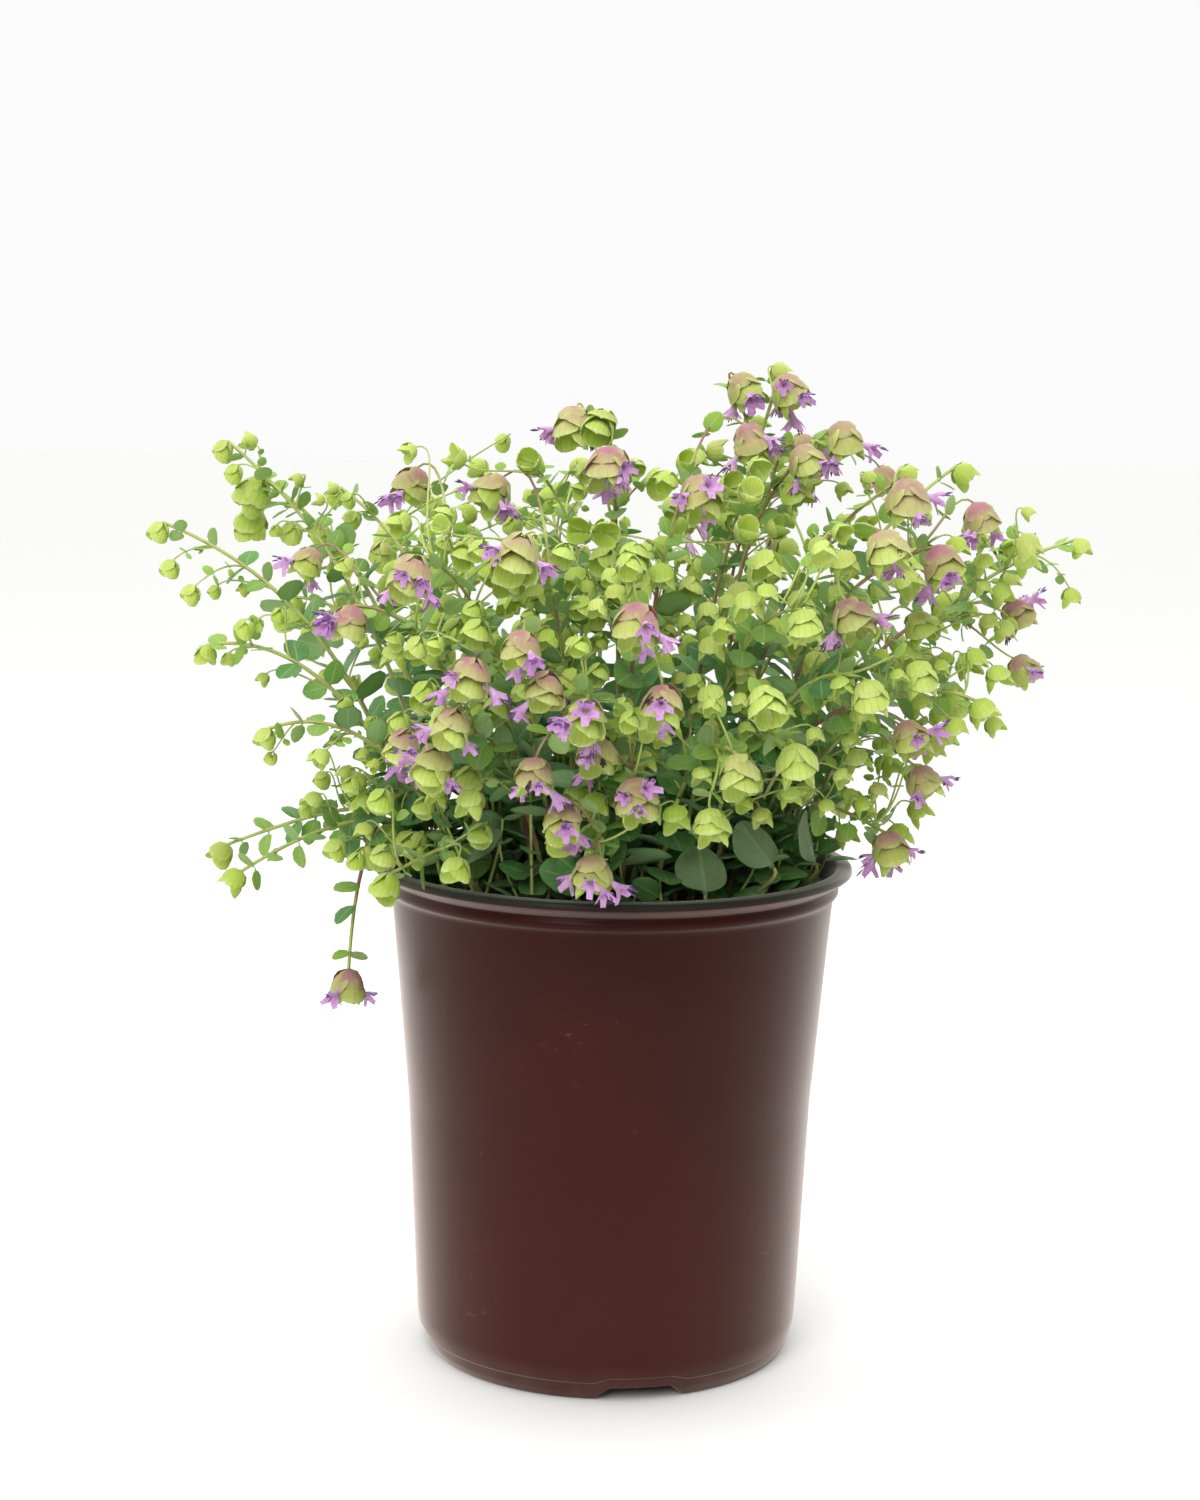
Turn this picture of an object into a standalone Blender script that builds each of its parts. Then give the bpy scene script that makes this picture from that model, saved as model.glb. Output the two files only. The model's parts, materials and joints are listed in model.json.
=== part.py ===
"""Hop-flowered oregano in its nursery pot.

A thin-walled plastic pot, filled with growing medium, carries about fifty thin arching stems. Each
stem is one solid: a tapered three-sided tube with its leaves, its side shoots, the nodding hop-like
heads of papery bracts that end them, and the small trumpet flowers that stand out of some heads.
Every stem and basal leaf stands in a plain hole in the soil.

Heights and places in the named values are millimetres, with the origin on the pot's axis at the
surface that it stands on, +Z up and -Y towards the front. Meshes are made in metres.
"""

import math

import bmesh
import bpy
import numpy as np

MM = 0.001
SEED = 7

# Pot: a tapered shell with a bead and a flared rim, a skirt below a raised floor, and four notches.
RIM_RADIUS = 82.5
RIM_TOP = 171.0
RIM_INNER = 76.2
BEAD_RADIUS = 77.8
SHOULDER_RADIUS = 75.1
WAIST_RADIUS = 69.7
HEEL_RADIUS = 66.1
FOOT_RADIUS = 61.5
WALL = 1.1
SKIRT_WALL = 2.2
FLOOR_UNDERSIDE = 6.0
FLOOR_TOP = 7.3
POT_SIDES = 32
NOTCHES = 4
NOTCH_TURN = math.radians(-79.1)
NOTCH_HEIGHT = 4.5
NOTCH_TOP_WIDTH = 20.0
NOTCH_FOOT_WIDTH = 30.0
DRAIN_RADIUS = 5.0
DRAIN_RING = 38.0
DRAINS = 4

# Growing medium: fills the pot to just below the bead, a little higher in the middle.
SOIL_EDGE = 147.0
SOIL_TOP = 149.0
SOIL_SIDES = 24
HOLE_DEPTH = 8.0
HOLE_SIDES = 4
FIT = 0.3

# Stems, shoots, leaves, heads and flowers.
STEM_RADIUS = 0.95
STEM_END_RADIUS = 0.7
SHOOT_RADIUS = 0.6
STALK_RADIUS = 0.8
STEM_STEPS = 6
SHOOT_STEPS = 2
STALK_STEPS = 3
LEAF_THICKNESS = 0.7
LEAVES_A_STEM = 2
LEAF_NODES = 8
HEAD_WIDTH = 0.86
HEAD_SIDES = 6
LARGE_HEAD = 11.5
FLOWER_LENGTH = 8.5
FLOWER_SIDES = 3
BASAL_LEAF = 19.0

# Each row is a stem that shows from the front: how it grows, what its heads are, the length of its
# end head, and where its heads sit, the one at the stem's own end first.
FRONT_STEMS = (
    ("erect", "bloom", 14, ((56, -12, 331), (41, -13, 332))),
    ("arch", "bloom", 14, ((74, -24, 316), (61, -34, 309))),
    ("arch", "bloom", 16, ((92, -55, 298), (83, -88, 284), (74, -78, 262))),
    ("arch", "bloom", 15, ((105, -50, 277), (120, -22, 290))),
    ("arch", "bloom", 16, ((-3, -68, 307), (-15, -29, 319))),
    ("arch", "bloom", 15, ((25, -94, 300), (43, -29, 315))),
    ("arch", "bloom", 16, ((-30, -111, 282), (-42, -23, 297))),
    ("arch", "bloom", 15, ((-64, -85, 274), (-68, -32, 299))),
    ("arch", "bloom", 13, ((-85, -65, 257), (-101, -41, 274))),
    ("arch", "bloom", 15, ((6, -131, 264), (14, -127, 240))),
    ("arch", "bloom", 14, ((-44, -117, 246), (-28, -128, 256))),
    ("arch", "bloom", 14, ((-55, -106, 217), (-49, -117, 231), (-66, -83, 220))),
    ("arch", "bloom", 14, ((-9, -126, 235), (-21, -122, 243), (-24, -115, 216))),
    ("arch", "bloom", 15, ((7, -112, 209), (-5, -106, 222))),
    ("arch", "bloom", 14, ((-6, -99, 183), (-15, -107, 201))),
    ("arch", "bloom", 14, ((95, -61, 222), (102, -40, 205))),
    ("trail", "bloom", 14, ((92, -32, 181),)),
    ("hang", "bloom", 13, ((-89, -24, 130),)),
    ("arch", "bloom", 13, ((140, 25, 255), (141, 14, 237))),
    ("arch", "green", 8, ((-138, 30, 308), (-130, 34, 311), (-134, 26, 300))),
    ("arch", "green", 8, ((-156, 0, 281), (-151, -8, 269), (-143, -14, 261))),
    ("arch", "green", 8, ((-136, -28, 242), (-122, -36, 252))),
    ("arch", "green", 8, ((-115, -38, 216), (-96, -48, 211))),
    ("trail", "green", 10, ((-137, 12, 168),)),
    ("trail", "green", 10, ((-128, -22, 165),)),
    ("arch", "green", 8, ((-101, 50, 292), (-94, 40, 284))),
    ("arch", "green", 9, ((-29, -33, 308), (-46, 24, 296))),
    ("arch", "green", 10, ((121, 35, 303), (103, 52, 302))),
    ("arch", "green", 8, ((157, 0, 280), (153, -8, 264))),
    ("arch", "green", 11, ((121, -38, 228), (127, -26, 238))),
    ("trail", "green", 11, ((-73, -66, 172), (-49, -89, 182))),
    ("arch", "green", 14, ((38, -112, 217), (30, -106, 200))),
    ("arch", "green", 14, ((56, -99, 219), (45, -122, 240))),
    ("arch", "green", 13, ((79, -86, 238), (97, -62, 242), (99, -38, 256))),
    ("arch", "green", 12, ((57, -108, 262), (45, -101, 280))),
)
BACK_STEMS = 14
BACK_LOWEST = 190.0
BACK_RISE = 125.0

# The plant's outline is a bowl that opens upwards: half its width at each height, and its depth.
OUTLINE_HEIGHTS = (165, 200, 235, 270, 300, 320)
OUTLINE_WIDTHS = (95, 118, 142, 152, 138, 70)
OUTLINE_DEPTH = 0.92

# Round leaves low down by the rim: the middle of each blade.
BASAL_LEAVES = (
    (64, -28, 184),
    (47, -52, 186),
    (30, -60, 178),
    (-44, -54, 184),
    (-66, 22, 184),
    (20, 66, 184),
)


def unit(vector):
    return vector / np.linalg.norm(vector)


def bezier(corners, at):
    """Points of a cubic curve through its first and last corner, bent towards the two between."""
    at = np.atleast_1d(at)[:, None]
    first, second, third, last = corners
    rest = 1 - at
    return rest**3 * first + 3 * at * rest**2 * second + 3 * at**2 * rest * third + at**3 * last


def tangent_at(corners, at):
    """Direction of travel along a cubic curve."""
    ahead = min(1.0, at + 0.02)
    behind = ahead - 0.02
    return unit(bezier(corners, ahead)[0] - bezier(corners, behind)[0])


def balls_along(points, radius, step):
    """Balls spaced evenly along a path, which stand for a tube when its room is tested."""
    legs = np.linalg.norm(np.diff(points, axis=0), axis=1)
    run = np.append(0, np.cumsum(legs))
    at = np.linspace(0, run[-1], max(2, int(run[-1] / step) + 1))
    centres = np.stack([np.interp(at, run, points[:, k]) for k in range(3)], axis=1)
    return centres, np.full(len(centres), radius)


def straight_line(corners, steps, head):
    """The curve's points that its tube is drawn through, the last one sunk into its head."""
    points = bezier(corners, np.linspace(0, 1, steps + 1))
    points[-1] = head["top"] + 0.2 * head["size"] * head["axis"]
    return points


def on_stem(stem, at):
    """The point of a stem's own tube at a share of its curve."""
    steps = np.linspace(0, 1, STEM_STEPS + 1)
    return np.array([np.interp(at, steps, stem["line"][:, k]) for k in range(3)])


def tube_balls(corners, line, radius, step):
    """Balls along a curve and along the straight line of points that it is drawn in."""
    smooth = balls_along(bezier(corners, np.linspace(0, 1, 41)), radius, step)
    straight = balls_along(line, radius, step)
    return np.vstack([smooth[0], straight[0]]), np.append(smooth[1], straight[1])


def head_balls(top, axis, length):
    """Two balls that stand for a head."""
    centres = top + np.outer((0.34 * length, 0.68 * length), axis)
    return centres, np.full(2, 0.5 * HEAD_WIDTH * length)


def leaf_balls(root, along, across, length):
    """Three balls along a leaf's rib and one on each side."""
    rib = root + np.outer((0.35 * length, 0.6 * length, 0.85 * length), along)
    sides = root + 0.55 * length * along + np.outer((-0.26 * length, 0.26 * length), across)
    return np.vstack([rib, sides]), np.full(5, 0.14 * length + 0.5)


class Crowd:
    """Balls that cover all that has grown so far, each with the number of its stem."""

    def __init__(self):
        self.centres = np.empty((0, 3))
        self.radii = np.empty(0)
        self.owners = np.empty(0, int)

    def add(self, balls, owner):
        centres, radii = balls
        self.centres = np.vstack([self.centres, centres])
        self.radii = np.append(self.radii, radii)
        self.owners = np.append(self.owners, np.full(len(centres), owner))

    def apart(self, balls, owner, gap):
        """Whether balls stand clear of every other stem's by a gap."""
        centres, radii = balls
        others = self.owners != owner
        away = np.linalg.norm(centres[:, None] - self.centres[None, others], axis=2)
        return not (away < radii[:, None] + self.radii[None, others] + gap).any()

    def free(self, balls, owner, gap):
        """Whether balls stand clear of the other stems, the pot's rim and the soil."""
        centres, radii = balls
        out = np.hypot(centres[:, 0], centres[:, 1])
        lowest = centres[:, 2] - radii
        below_rim = lowest < RIM_TOP + gap
        within = out + radii < RIM_INNER - 2.0
        outside = out - radii > RIM_RADIUS + gap
        if (below_rim & ~within & ~outside).any():
            return False
        if ((out < RIM_INNER) & (lowest < SOIL_TOP + 1.2)).any():
            return False
        return self.apart(balls, owner, gap)


def head_axis(place, rng, kind):
    """Which way a head hangs from its shoot: outwards and down, though high green ones look up."""
    outwards = unit(place * (1, 1, 0) + rng.normal(0, 12, 3) * (1, 1, 0))
    down = rng.uniform(0.35, 1.1)
    if kind == "green" and place[2] > 285:
        down = rng.uniform(-0.5, 0.5)
    return unit(outwards * rng.uniform(0.5, 1.0) - (0, 0, down))


def stem_corners(habit, tip, rng, looseness):
    """Corners of a stem's curve, from the soil up, out over the rim and on to its end."""
    outwards = unit(tip * (1, 1, 0))
    up = np.array((0, 0, 1.0))
    spread = min(0.36 * np.hypot(tip[0], tip[1]) + 3, 55)
    root = outwards * spread + rng.normal(0, 2 + looseness, 3) * (1, 1, 0)
    root[2] = SOIL_TOP + 1.0
    length = np.linalg.norm(tip - root)
    if habit == "erect":
        rise = root + up * 0.5 * (tip[2] - root[2]) + outwards * 4
        near = tip - unit(outwards * 0.3 + up) * 0.35 * length
    elif habit == "trail":
        rise = root + up * 45 + outwards * 8
        near = tip - outwards * 42 + up * 17
    elif habit == "hang":
        rise = root + up * 75 + outwards * 30
        near = tip + up * 68 - outwards * 2
    else:
        lift = np.interp(tip[2], (180, 230, 270, 310), (-0.9, -0.35, 0.15, 0.75))
        rise = root + up * max(0.5 * (tip[2] - root[2]), 38) + outwards * 0.12 * length
        near = tip - unit(outwards + up * lift) * 0.36 * length
    shake = rng.normal(0, 1, (2, 3)) * (3 + 2.2 * looseness)
    return np.array((root, rise + shake[0] * (1, 1, 0.3), near + shake[1], tip))


def grow_stem(number, row, crowd, rng):
    """One stem's curve and end head, bent and moved until both clear the stems before it."""
    habit, kind, size, places = row
    for attempt in range(300):
        middle = np.array(places[0], float) + rng.normal(0, 0.4 * (attempt // 60), 3)
        axis = head_axis(middle, rng, kind)
        if habit == "hang":
            axis = unit(np.array((-0.1, -0.1, -1.0)))
        top = middle - 0.45 * size * axis
        corners = stem_corners(habit, top, rng, attempt / 60)
        end_head = {"at": 1.0, "top": top, "axis": axis, "size": size, "kind": kind}
        line = straight_line(corners, STEM_STEPS, end_head)
        balls = tube_balls(corners, line, STEM_RADIUS, 3.0)
        head = head_balls(top, axis, size)
        above = balls[0][:, 2] > SOIL_TOP + 2.5
        clear_of_pot = crowd.free((balls[0][above], balls[1][above]), number, 0.2)
        if clear_of_pot and crowd.apart(balls, number, 1.8) and crowd.free(head, number, 0.9):
            break
    crowd.add(balls, number)
    crowd.add(head, number)
    grown = {"heads": [end_head], "leaves": [], "flowers": []}
    return {"kind": kind, "corners": corners, "line": line, **grown}


def try_shoot(stem, number, crowd, at, lean, top, axis, size, kind):
    """Adds a side shoot with its head, if there is room for both."""
    start = on_stem(stem, at)
    gap = np.linalg.norm(top - start)
    corners = np.array((start, start + lean * 0.4 * gap, top - axis * 0.28 * gap, top))
    head = {"at": at, "corners": corners, "top": top, "axis": axis, "size": size, "kind": kind}
    head["line"] = straight_line(corners, SHOOT_STEPS, head)
    shoot_room = tube_balls(corners, head["line"], SHOOT_RADIUS, 2.0)
    head_room = head_balls(top, axis, size)
    if not crowd.free(shoot_room, number, 1.2) or not crowd.free(head_room, number, 0.9):
        return False
    middle = top + 0.5 * size * axis
    for other in stem["heads"]:
        away = np.linalg.norm(other["top"] + 0.5 * other["size"] * other["axis"] - middle)
        if away < 0.42 * (other["size"] + size):
            return False
    crowd.add(shoot_room, number)
    crowd.add(head_room, number)
    stem["heads"].append(head)
    return True


def add_placed_head(stem, number, crowd, rng, place):
    """A further head of the stem at its own place, on a shoot from the stem's nearest stretch."""
    stretch = np.linspace(0.45, 0.93, 25)
    away = np.linalg.norm(bezier(stem["corners"], stretch) - place, axis=1)
    nearest = int(away.argmin())
    size = 0.92 * stem["heads"][0]["size"]
    for attempt in range(80):
        at = stretch[max(0, nearest - int(rng.integers(1, 9)))]
        axis = head_axis(place, rng, stem["kind"])
        top = place + rng.normal(0, 0.3 * (attempt // 8), 3) - 0.45 * size * axis
        towards = unit(top - on_stem(stem, at))
        lean = unit(tangent_at(stem["corners"], at) + towards + rng.normal(0, 0.2, 3))
        if try_shoot(stem, number, crowd, at, lean, top, axis, size, stem["kind"]):
            return


def within_plant(place, size):
    """Whether a head at a place lies inside the plant's outline and above the rim."""
    wide = np.interp(place[2], OUTLINE_HEIGHTS, OUTLINE_WIDTHS) - 0.5 * size
    return place[2] > 176 and np.hypot(place[0] / wide, place[1] / (OUTLINE_DEPTH * wide)) < 1


def back_stems():
    """Rows for the stems behind, spread by the golden section over half a turn and over height."""
    golden = 0.5 * (math.sqrt(5) - 1)
    rows = []
    for index in range(BACK_STEMS):
        turn = math.radians(14 + 152 * ((0.18 + index * golden) % 1))
        height = BACK_LOWEST + BACK_RISE * (index + 0.5) / BACK_STEMS
        size = (11, 14, 9, 12, 13)[index % 5]
        kind = "bloom" if index % 3 == 1 else "green"
        heads = []
        for sideways, down in ((0.0, 0.0), (9.0, 11.0)):
            wide = np.interp(height - down, OUTLINE_HEIGHTS, OUTLINE_WIDTHS) - 0.5 * size
            along = wide * math.cos(turn) + sideways * math.sin(turn)
            back = OUTLINE_DEPTH * wide * math.sin(turn) - sideways * math.cos(turn)
            heads.append((along, back, height - down))
        rows.append(("arch", kind, size, tuple(heads)))
    return tuple(rows)


def add_chance_head(stem, number, crowd, rng):
    """One more head, on a shoot that leaves the stem anywhere in its upper half."""
    for _ in range(60):
        at = rng.uniform(0.5, 0.9)
        start = on_stem(stem, at)
        onwards = tangent_at(stem["corners"], at)
        turn = rng.uniform(0, 2 * math.pi)
        side = unit(np.cross(onwards, (math.cos(turn), math.sin(turn), 0.2)))
        size = rng.uniform(0.65, 0.95) * stem["heads"][0]["size"]
        away = unit(side + 0.7 * onwards + (0, 0, 0.25))
        place = start + away * rng.uniform(14, 34)
        axis = head_axis(place, rng, "green")
        top = place - 0.45 * size * axis
        lean = unit(away + 0.5 * onwards)
        kind = "green" if rng.random() < 0.75 else stem["kind"]
        if within_plant(place, size):
            if try_shoot(stem, number, crowd, at, lean, top, axis, size, kind):
                return


def add_leaves(stem, number, crowd, rng):
    """Opposite leaves at a few of the stem's nodes, each pair turned a right angle from the last."""
    turn = rng.uniform(0, math.pi)
    nodes = np.linspace(0.34, 0.9, LEAF_NODES) + rng.uniform(-0.02, 0.02)
    for node in rng.permutation(LEAF_NODES):
        at = nodes[node]
        root = on_stem(stem, at)
        onwards = tangent_at(stem["corners"], at)
        first = unit(np.cross(onwards, (0.3, 0.2, 1.0)))
        second = np.cross(onwards, first)
        angle = turn + 0.5 * math.pi * node
        pair = math.cos(angle) * first + math.sin(angle) * second
        length = np.interp(at, (0.3, 0.6, 1), (14, 13, 8)) * rng.uniform(0.85, 1.15)
        for sign in (1, -1):
            along = unit(sign * pair + 0.45 * onwards + (0, 0, rng.uniform(-0.2, 0.25)))
            across = unit(np.cross(along, (0, 0, 1)) + rng.normal(0, 0.15, 3))
            across = unit(across - along * (across @ along))
            balls = leaf_balls(root, along, across, length)
            if len(stem["leaves"]) < LEAVES_A_STEM and crowd.free(balls, number, 0.6):
                crowd.add(balls, number)
                leaf = {"at": at, "root": root, "along": along, "across": across}
                stem["leaves"].append({**leaf, "length": length})


def add_flowers(stem, number, crowd, rng):
    """Trumpet flowers that lean out from under the bracts of the heads in bloom."""
    for index, head in enumerate(stem["heads"]):
        wanted = 1 if head["kind"] == "bloom" and index in (0, 2) else 0
        side = unit(np.cross(head["axis"], (0.2, 0.3, 1)))
        other = np.cross(head["axis"], side)
        for _ in range(10):
            if wanted == 0:
                break
            turn = rng.uniform(0, 2 * math.pi)
            outwards = math.cos(turn) * side + math.sin(turn) * other
            start = head["top"] + head["axis"] * 0.45 * head["size"] + outwards * 0.2 * head["size"]
            along = unit(outwards + 0.55 * head["axis"] + (0, 0, 0.15))
            mouth = (start + along * np.array([[5.5], [8.0]]), np.array((1.8, 3.0)))
            if crowd.free(mouth, number, 0.6):
                crowd.add(mouth, number)
                stem["flowers"].append({"start": start, "along": along})
                wanted -= 1


def add_basal_leaf(number, middle, crowd, rng):
    """A round leaf on a short stalk that stands in the soil by the rim."""
    middle = np.array(middle, float)
    for attempt in range(200):
        outwards = unit(middle * (1, 1, 0))
        face = unit(outwards * rng.uniform(0.4, 1.0) + (0, 0, rng.uniform(0.3, 0.9)))
        across = unit(np.cross(face, (0, 0, 1)) + rng.normal(0, 0.2, 3))
        along = unit(np.cross(across, face))
        along = along if along[2] > 0 else -along
        shift = rng.normal(0, 0.6 + attempt / 40, 3)
        blade_root = middle + shift - 0.5 * BASAL_LEAF * along
        root = middle * (0.8, 0.8, 0) + rng.normal(0, 1 + attempt / 40, 3) * (1, 1, 0)
        root[2] = SOIL_TOP + 1.0
        rise = root + (0, 0, 0.5 * (blade_root[2] - root[2]))
        corners = np.array((root, rise, blade_root - 6 * along, blade_root))
        line = bezier(corners, np.linspace(0, 1, STALK_STEPS + 1))
        line[-1] = blade_root + 2.5 * along
        stalk = tube_balls(corners, line, STALK_RADIUS, 2.0)
        above = stalk[0][:, 2] > SOIL_TOP + 2.5
        blade = leaf_balls(blade_root, along, across, BASAL_LEAF)
        if crowd.free((stalk[0][above], stalk[1][above]), number, 0.6):
            if crowd.apart(stalk, number, 1.8) and crowd.free(blade, number, 0.8):
                crowd.add(stalk, number)
                crowd.add(blade, number)
                leaf = {"at": 1.0, "root": blade_root, "along": along, "across": across}
                return {"corners": corners, "line": line, "leaf": {**leaf, "length": BASAL_LEAF}}
    return None


def grow_plant():
    """All stems and basal leaves, each kept clear of the others."""
    rng = np.random.default_rng(SEED)
    crowd = Crowd()
    rows = FRONT_STEMS + back_stems()
    stems = [grow_stem(number, row, crowd, rng) for number, row in enumerate(rows)]
    basal = [
        add_basal_leaf(len(rows) + index, middle, crowd, rng)
        for index, middle in enumerate(BASAL_LEAVES)
    ]
    for number, stem in enumerate(stems):
        for place in rows[number][3][1:]:
            add_placed_head(stem, number, crowd, rng, np.array(place, float))
    for number, stem in enumerate(stems):
        if number >= len(FRONT_STEMS):
            add_chance_head(stem, number, crowd, rng)
    for grow in (add_leaves, add_flowers):
        for number, stem in enumerate(stems):
            grow(stem, number, crowd, rng)
    return stems, [stalk for stalk in basal if stalk]


def new_collection(name, hidden=False):
    collection = bpy.data.collections.new(name)
    collection.hide_render = hidden
    bpy.context.scene.collection.children.link(collection)
    return collection


def linear(hex_colour):
    """Linear colour of an sRGB hex value."""
    channels = [int(hex_colour[k : k + 2], 16) / 255 for k in (1, 3, 5)]
    curved = [c / 12.92 if c <= 0.04045 else ((c + 0.055) / 1.055) ** 2.4 for c in channels]
    return (*curved, 1.0)


def new_material(name, colour, roughness):
    material = bpy.data.materials.new(name)
    material.use_nodes = True
    shader = material.node_tree.nodes["Principled BSDF"]
    shader.inputs["Base Color"].default_value = linear(colour)
    shader.inputs["Roughness"].default_value = roughness
    shader.inputs["Metallic"].default_value = 0.0
    return material


def new_object(name, mesh, collection, material=None):
    obj = bpy.data.objects.new(name, mesh)
    collection.objects.link(obj)
    if material:
        mesh.materials.clear()
        mesh.materials.append(material)
    return obj


def mesh_from(points, faces):
    """A mesh from points in millimetres."""
    mesh = bpy.data.meshes.new("surface")
    mesh.from_pydata((np.asarray(points) * MM).tolist(), [], faces)
    return mesh


def evaluated_mesh(obj):
    graph = bpy.context.evaluated_depsgraph_get()
    return bpy.data.meshes.new_from_object(obj.evaluated_get(graph))


def turned(name, profile, sides, collection):
    """A profile of (radius, height) points that starts and ends on the axis, turned round it."""
    points = [(radius, 0.0, height) for radius, height in profile]
    mesh = bpy.data.meshes.new(name)
    edges = [(k, k + 1) for k in range(len(points) - 1)]
    mesh.from_pydata((np.array(points) * MM).tolist(), edges, [])
    obj = new_object(name, mesh, collection)
    screw = obj.modifiers.new("turn", "SCREW")
    screw.steps = sides
    screw.render_steps = sides
    screw.use_merge_vertices = True
    screw.merge_threshold = 0.00005
    screw.use_smooth_shade = True
    return obj


def cut(obj, cutters):
    boolean = obj.modifiers.new("cut", "BOOLEAN")
    boolean.operation = "DIFFERENCE"
    boolean.operand_type = "COLLECTION"
    boolean.collection = cutters
    boolean.solver = "EXACT"


def pot_profile():
    """Floor, inner wall, rim, outer wall, skirt and underside, in that order."""
    inner_foot = HEEL_RADIUS - WALL - 0.6
    return (
        (0.0, FLOOR_TOP),
        (inner_foot - 1.5, FLOOR_TOP),
        (WAIST_RADIUS - WALL, 88.0),
        (SHOULDER_RADIUS - WALL, 151.0),
        (RIM_INNER, 168.5),
        (RIM_INNER + 1.0, RIM_TOP),
        (RIM_RADIUS - 1.2, RIM_TOP - 0.4),
        (RIM_RADIUS, RIM_TOP - 2.0),
        (BEAD_RADIUS + 0.4, RIM_TOP - 5.5),
        (BEAD_RADIUS, 163.0),
        (SHOULDER_RADIUS + 0.9, 160.0),
        (SHOULDER_RADIUS, 151.0),
        (WAIST_RADIUS, 88.0),
        (HEEL_RADIUS, 15.0),
        (FOOT_RADIUS + 1.8, 3.0),
        (FOOT_RADIUS, 0.0),
        (FOOT_RADIUS - SKIRT_WALL, 0.0),
        (FOOT_RADIUS - SKIRT_WALL, FLOOR_UNDERSIDE),
        (0.0, FLOOR_UNDERSIDE),
    )


def make_pot(collection, cutters, material):
    pot = turned("pot", pot_profile(), POT_SIDES, collection)
    pot.data.materials.append(material)
    for index in range(NOTCHES):
        turn = NOTCH_TURN + index * 2 * math.pi / NOTCHES
        mesh = bpy.data.meshes.new("notch")
        shape = bmesh.new()
        bmesh.ops.create_cube(shape, size=1.0)
        for corner in shape.verts:
            width = NOTCH_TOP_WIDTH if corner.co.z > 0 else NOTCH_FOOT_WIDTH * 1.15
            corner.co.x = (FOOT_RADIUS + corner.co.x * 16.0) * MM
            corner.co.y *= width * MM
            corner.co.z = (NOTCH_HEIGHT if corner.co.z > 0 else -1.5) * MM
        shape.to_mesh(mesh)
        shape.free()
        notch = new_object(f"notch_cutter_{index + 1}", mesh, cutters)
        notch.rotation_euler = (0, 0, turn)
    for index in range(DRAINS):
        turn = NOTCH_TURN + math.pi / 4 + index * 2 * math.pi / DRAINS
        drain = peg("drain_cutter", DRAIN_RADIUS, FLOOR_UNDERSIDE - 1.0, FLOOR_TOP + 1.0, 6, cutters)
        drain.location = (DRAIN_RING * MM * math.cos(turn), DRAIN_RING * MM * math.sin(turn), 0)
    cut(pot, cutters)
    pot.data = evaluated_mesh(pot)
    pot.modifiers.clear()
    pot.data.shade_smooth()
    pot.data.set_sharp_from_angle(angle=math.radians(32))
    return pot


def peg(name, radius, bottom, top, sides, collection):
    """An upright prism between two heights, used as a cutter."""
    mesh = bpy.data.meshes.new(name)
    shape = bmesh.new()
    bmesh.ops.create_cone(
        shape,
        cap_ends=True,
        segments=sides,
        radius1=radius * MM,
        radius2=radius * MM,
        depth=(top - bottom) * MM,
    )
    bmesh.ops.translate(shape, verts=shape.verts, vec=(0, 0, 0.5 * (top + bottom) * MM))
    shape.to_mesh(mesh)
    shape.free()
    return new_object(name, mesh, collection)


def make_soil(collection, cutters, material, roots):
    """The medium, a turned body a fit inside the pot, with a plain hole for each stem and stalk."""
    gap = FIT + 0.2
    inner_foot = HEEL_RADIUS - WALL - 0.6
    profile = (
        (0.0, SOIL_TOP),
        (42.0, SOIL_TOP - 0.2),
        (SHOULDER_RADIUS - WALL - gap - 0.5, SOIL_EDGE),
        (WAIST_RADIUS - WALL - gap, 88.0),
        (inner_foot - 1.7 - gap, FLOOR_TOP + FIT),
        (0.0, FLOOR_TOP + FIT),
    )
    soil = turned("soil", profile, SOIL_SIDES, collection)
    soil.data.materials.append(material)
    for centre, radius in roots:
        reach = (radius + FIT) / math.cos(math.pi / HOLE_SIDES)
        hole = peg("hole_cutter", reach, SOIL_TOP - HOLE_DEPTH, SOIL_TOP + 3.0, HOLE_SIDES, cutters)
        hole.location = (centre[0] * MM, centre[1] * MM, 0)
    cut(soil, cutters)
    soil.data = evaluated_mesh(soil)
    soil.modifiers.clear()
    return soil


def three_sided_section(collection):
    """The section that stems and shoots are drawn out of, one millimetre to its corners."""
    curve = bpy.data.curves.new("section", "CURVE")
    spline = curve.splines.new("POLY")
    spline.points.add(2)
    for index, point in enumerate(spline.points):
        turn = index * 2 * math.pi / 3
        point.co = (MM * math.cos(turn), MM * math.sin(turn), 0, 1)
    spline.use_cyclic_u = True
    section = bpy.data.objects.new("section", curve)
    collection.objects.link(section)
    section.hide_render = True
    return section


def tube(points, radii, section, collection):
    """A tapered tube with closed ends along a path in millimetres, as a mesh object."""
    curve = bpy.data.curves.new("tube", "CURVE")
    curve.dimensions = "3D"
    curve.bevel_mode = "OBJECT"
    curve.bevel_object = section
    curve.use_fill_caps = True
    spline = curve.splines.new("POLY")
    spline.points.add(len(points) - 1)
    for point, place, radius in zip(spline.points, points, radii, strict=True):
        point.co = (*(place * MM), 1)
        point.radius = radius
    drawn = bpy.data.objects.new("tube", curve)
    collection.objects.link(drawn)
    mesh = evaluated_mesh(drawn)
    bpy.data.objects.remove(drawn)
    shape = bmesh.new()
    shape.from_mesh(mesh)
    bmesh.ops.remove_doubles(shape, verts=shape.verts, dist=0.00001)
    bmesh.ops.recalc_face_normals(shape, faces=shape.faces)
    shape.to_mesh(mesh)
    shape.free()
    return new_object("tube", mesh, collection)


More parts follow.
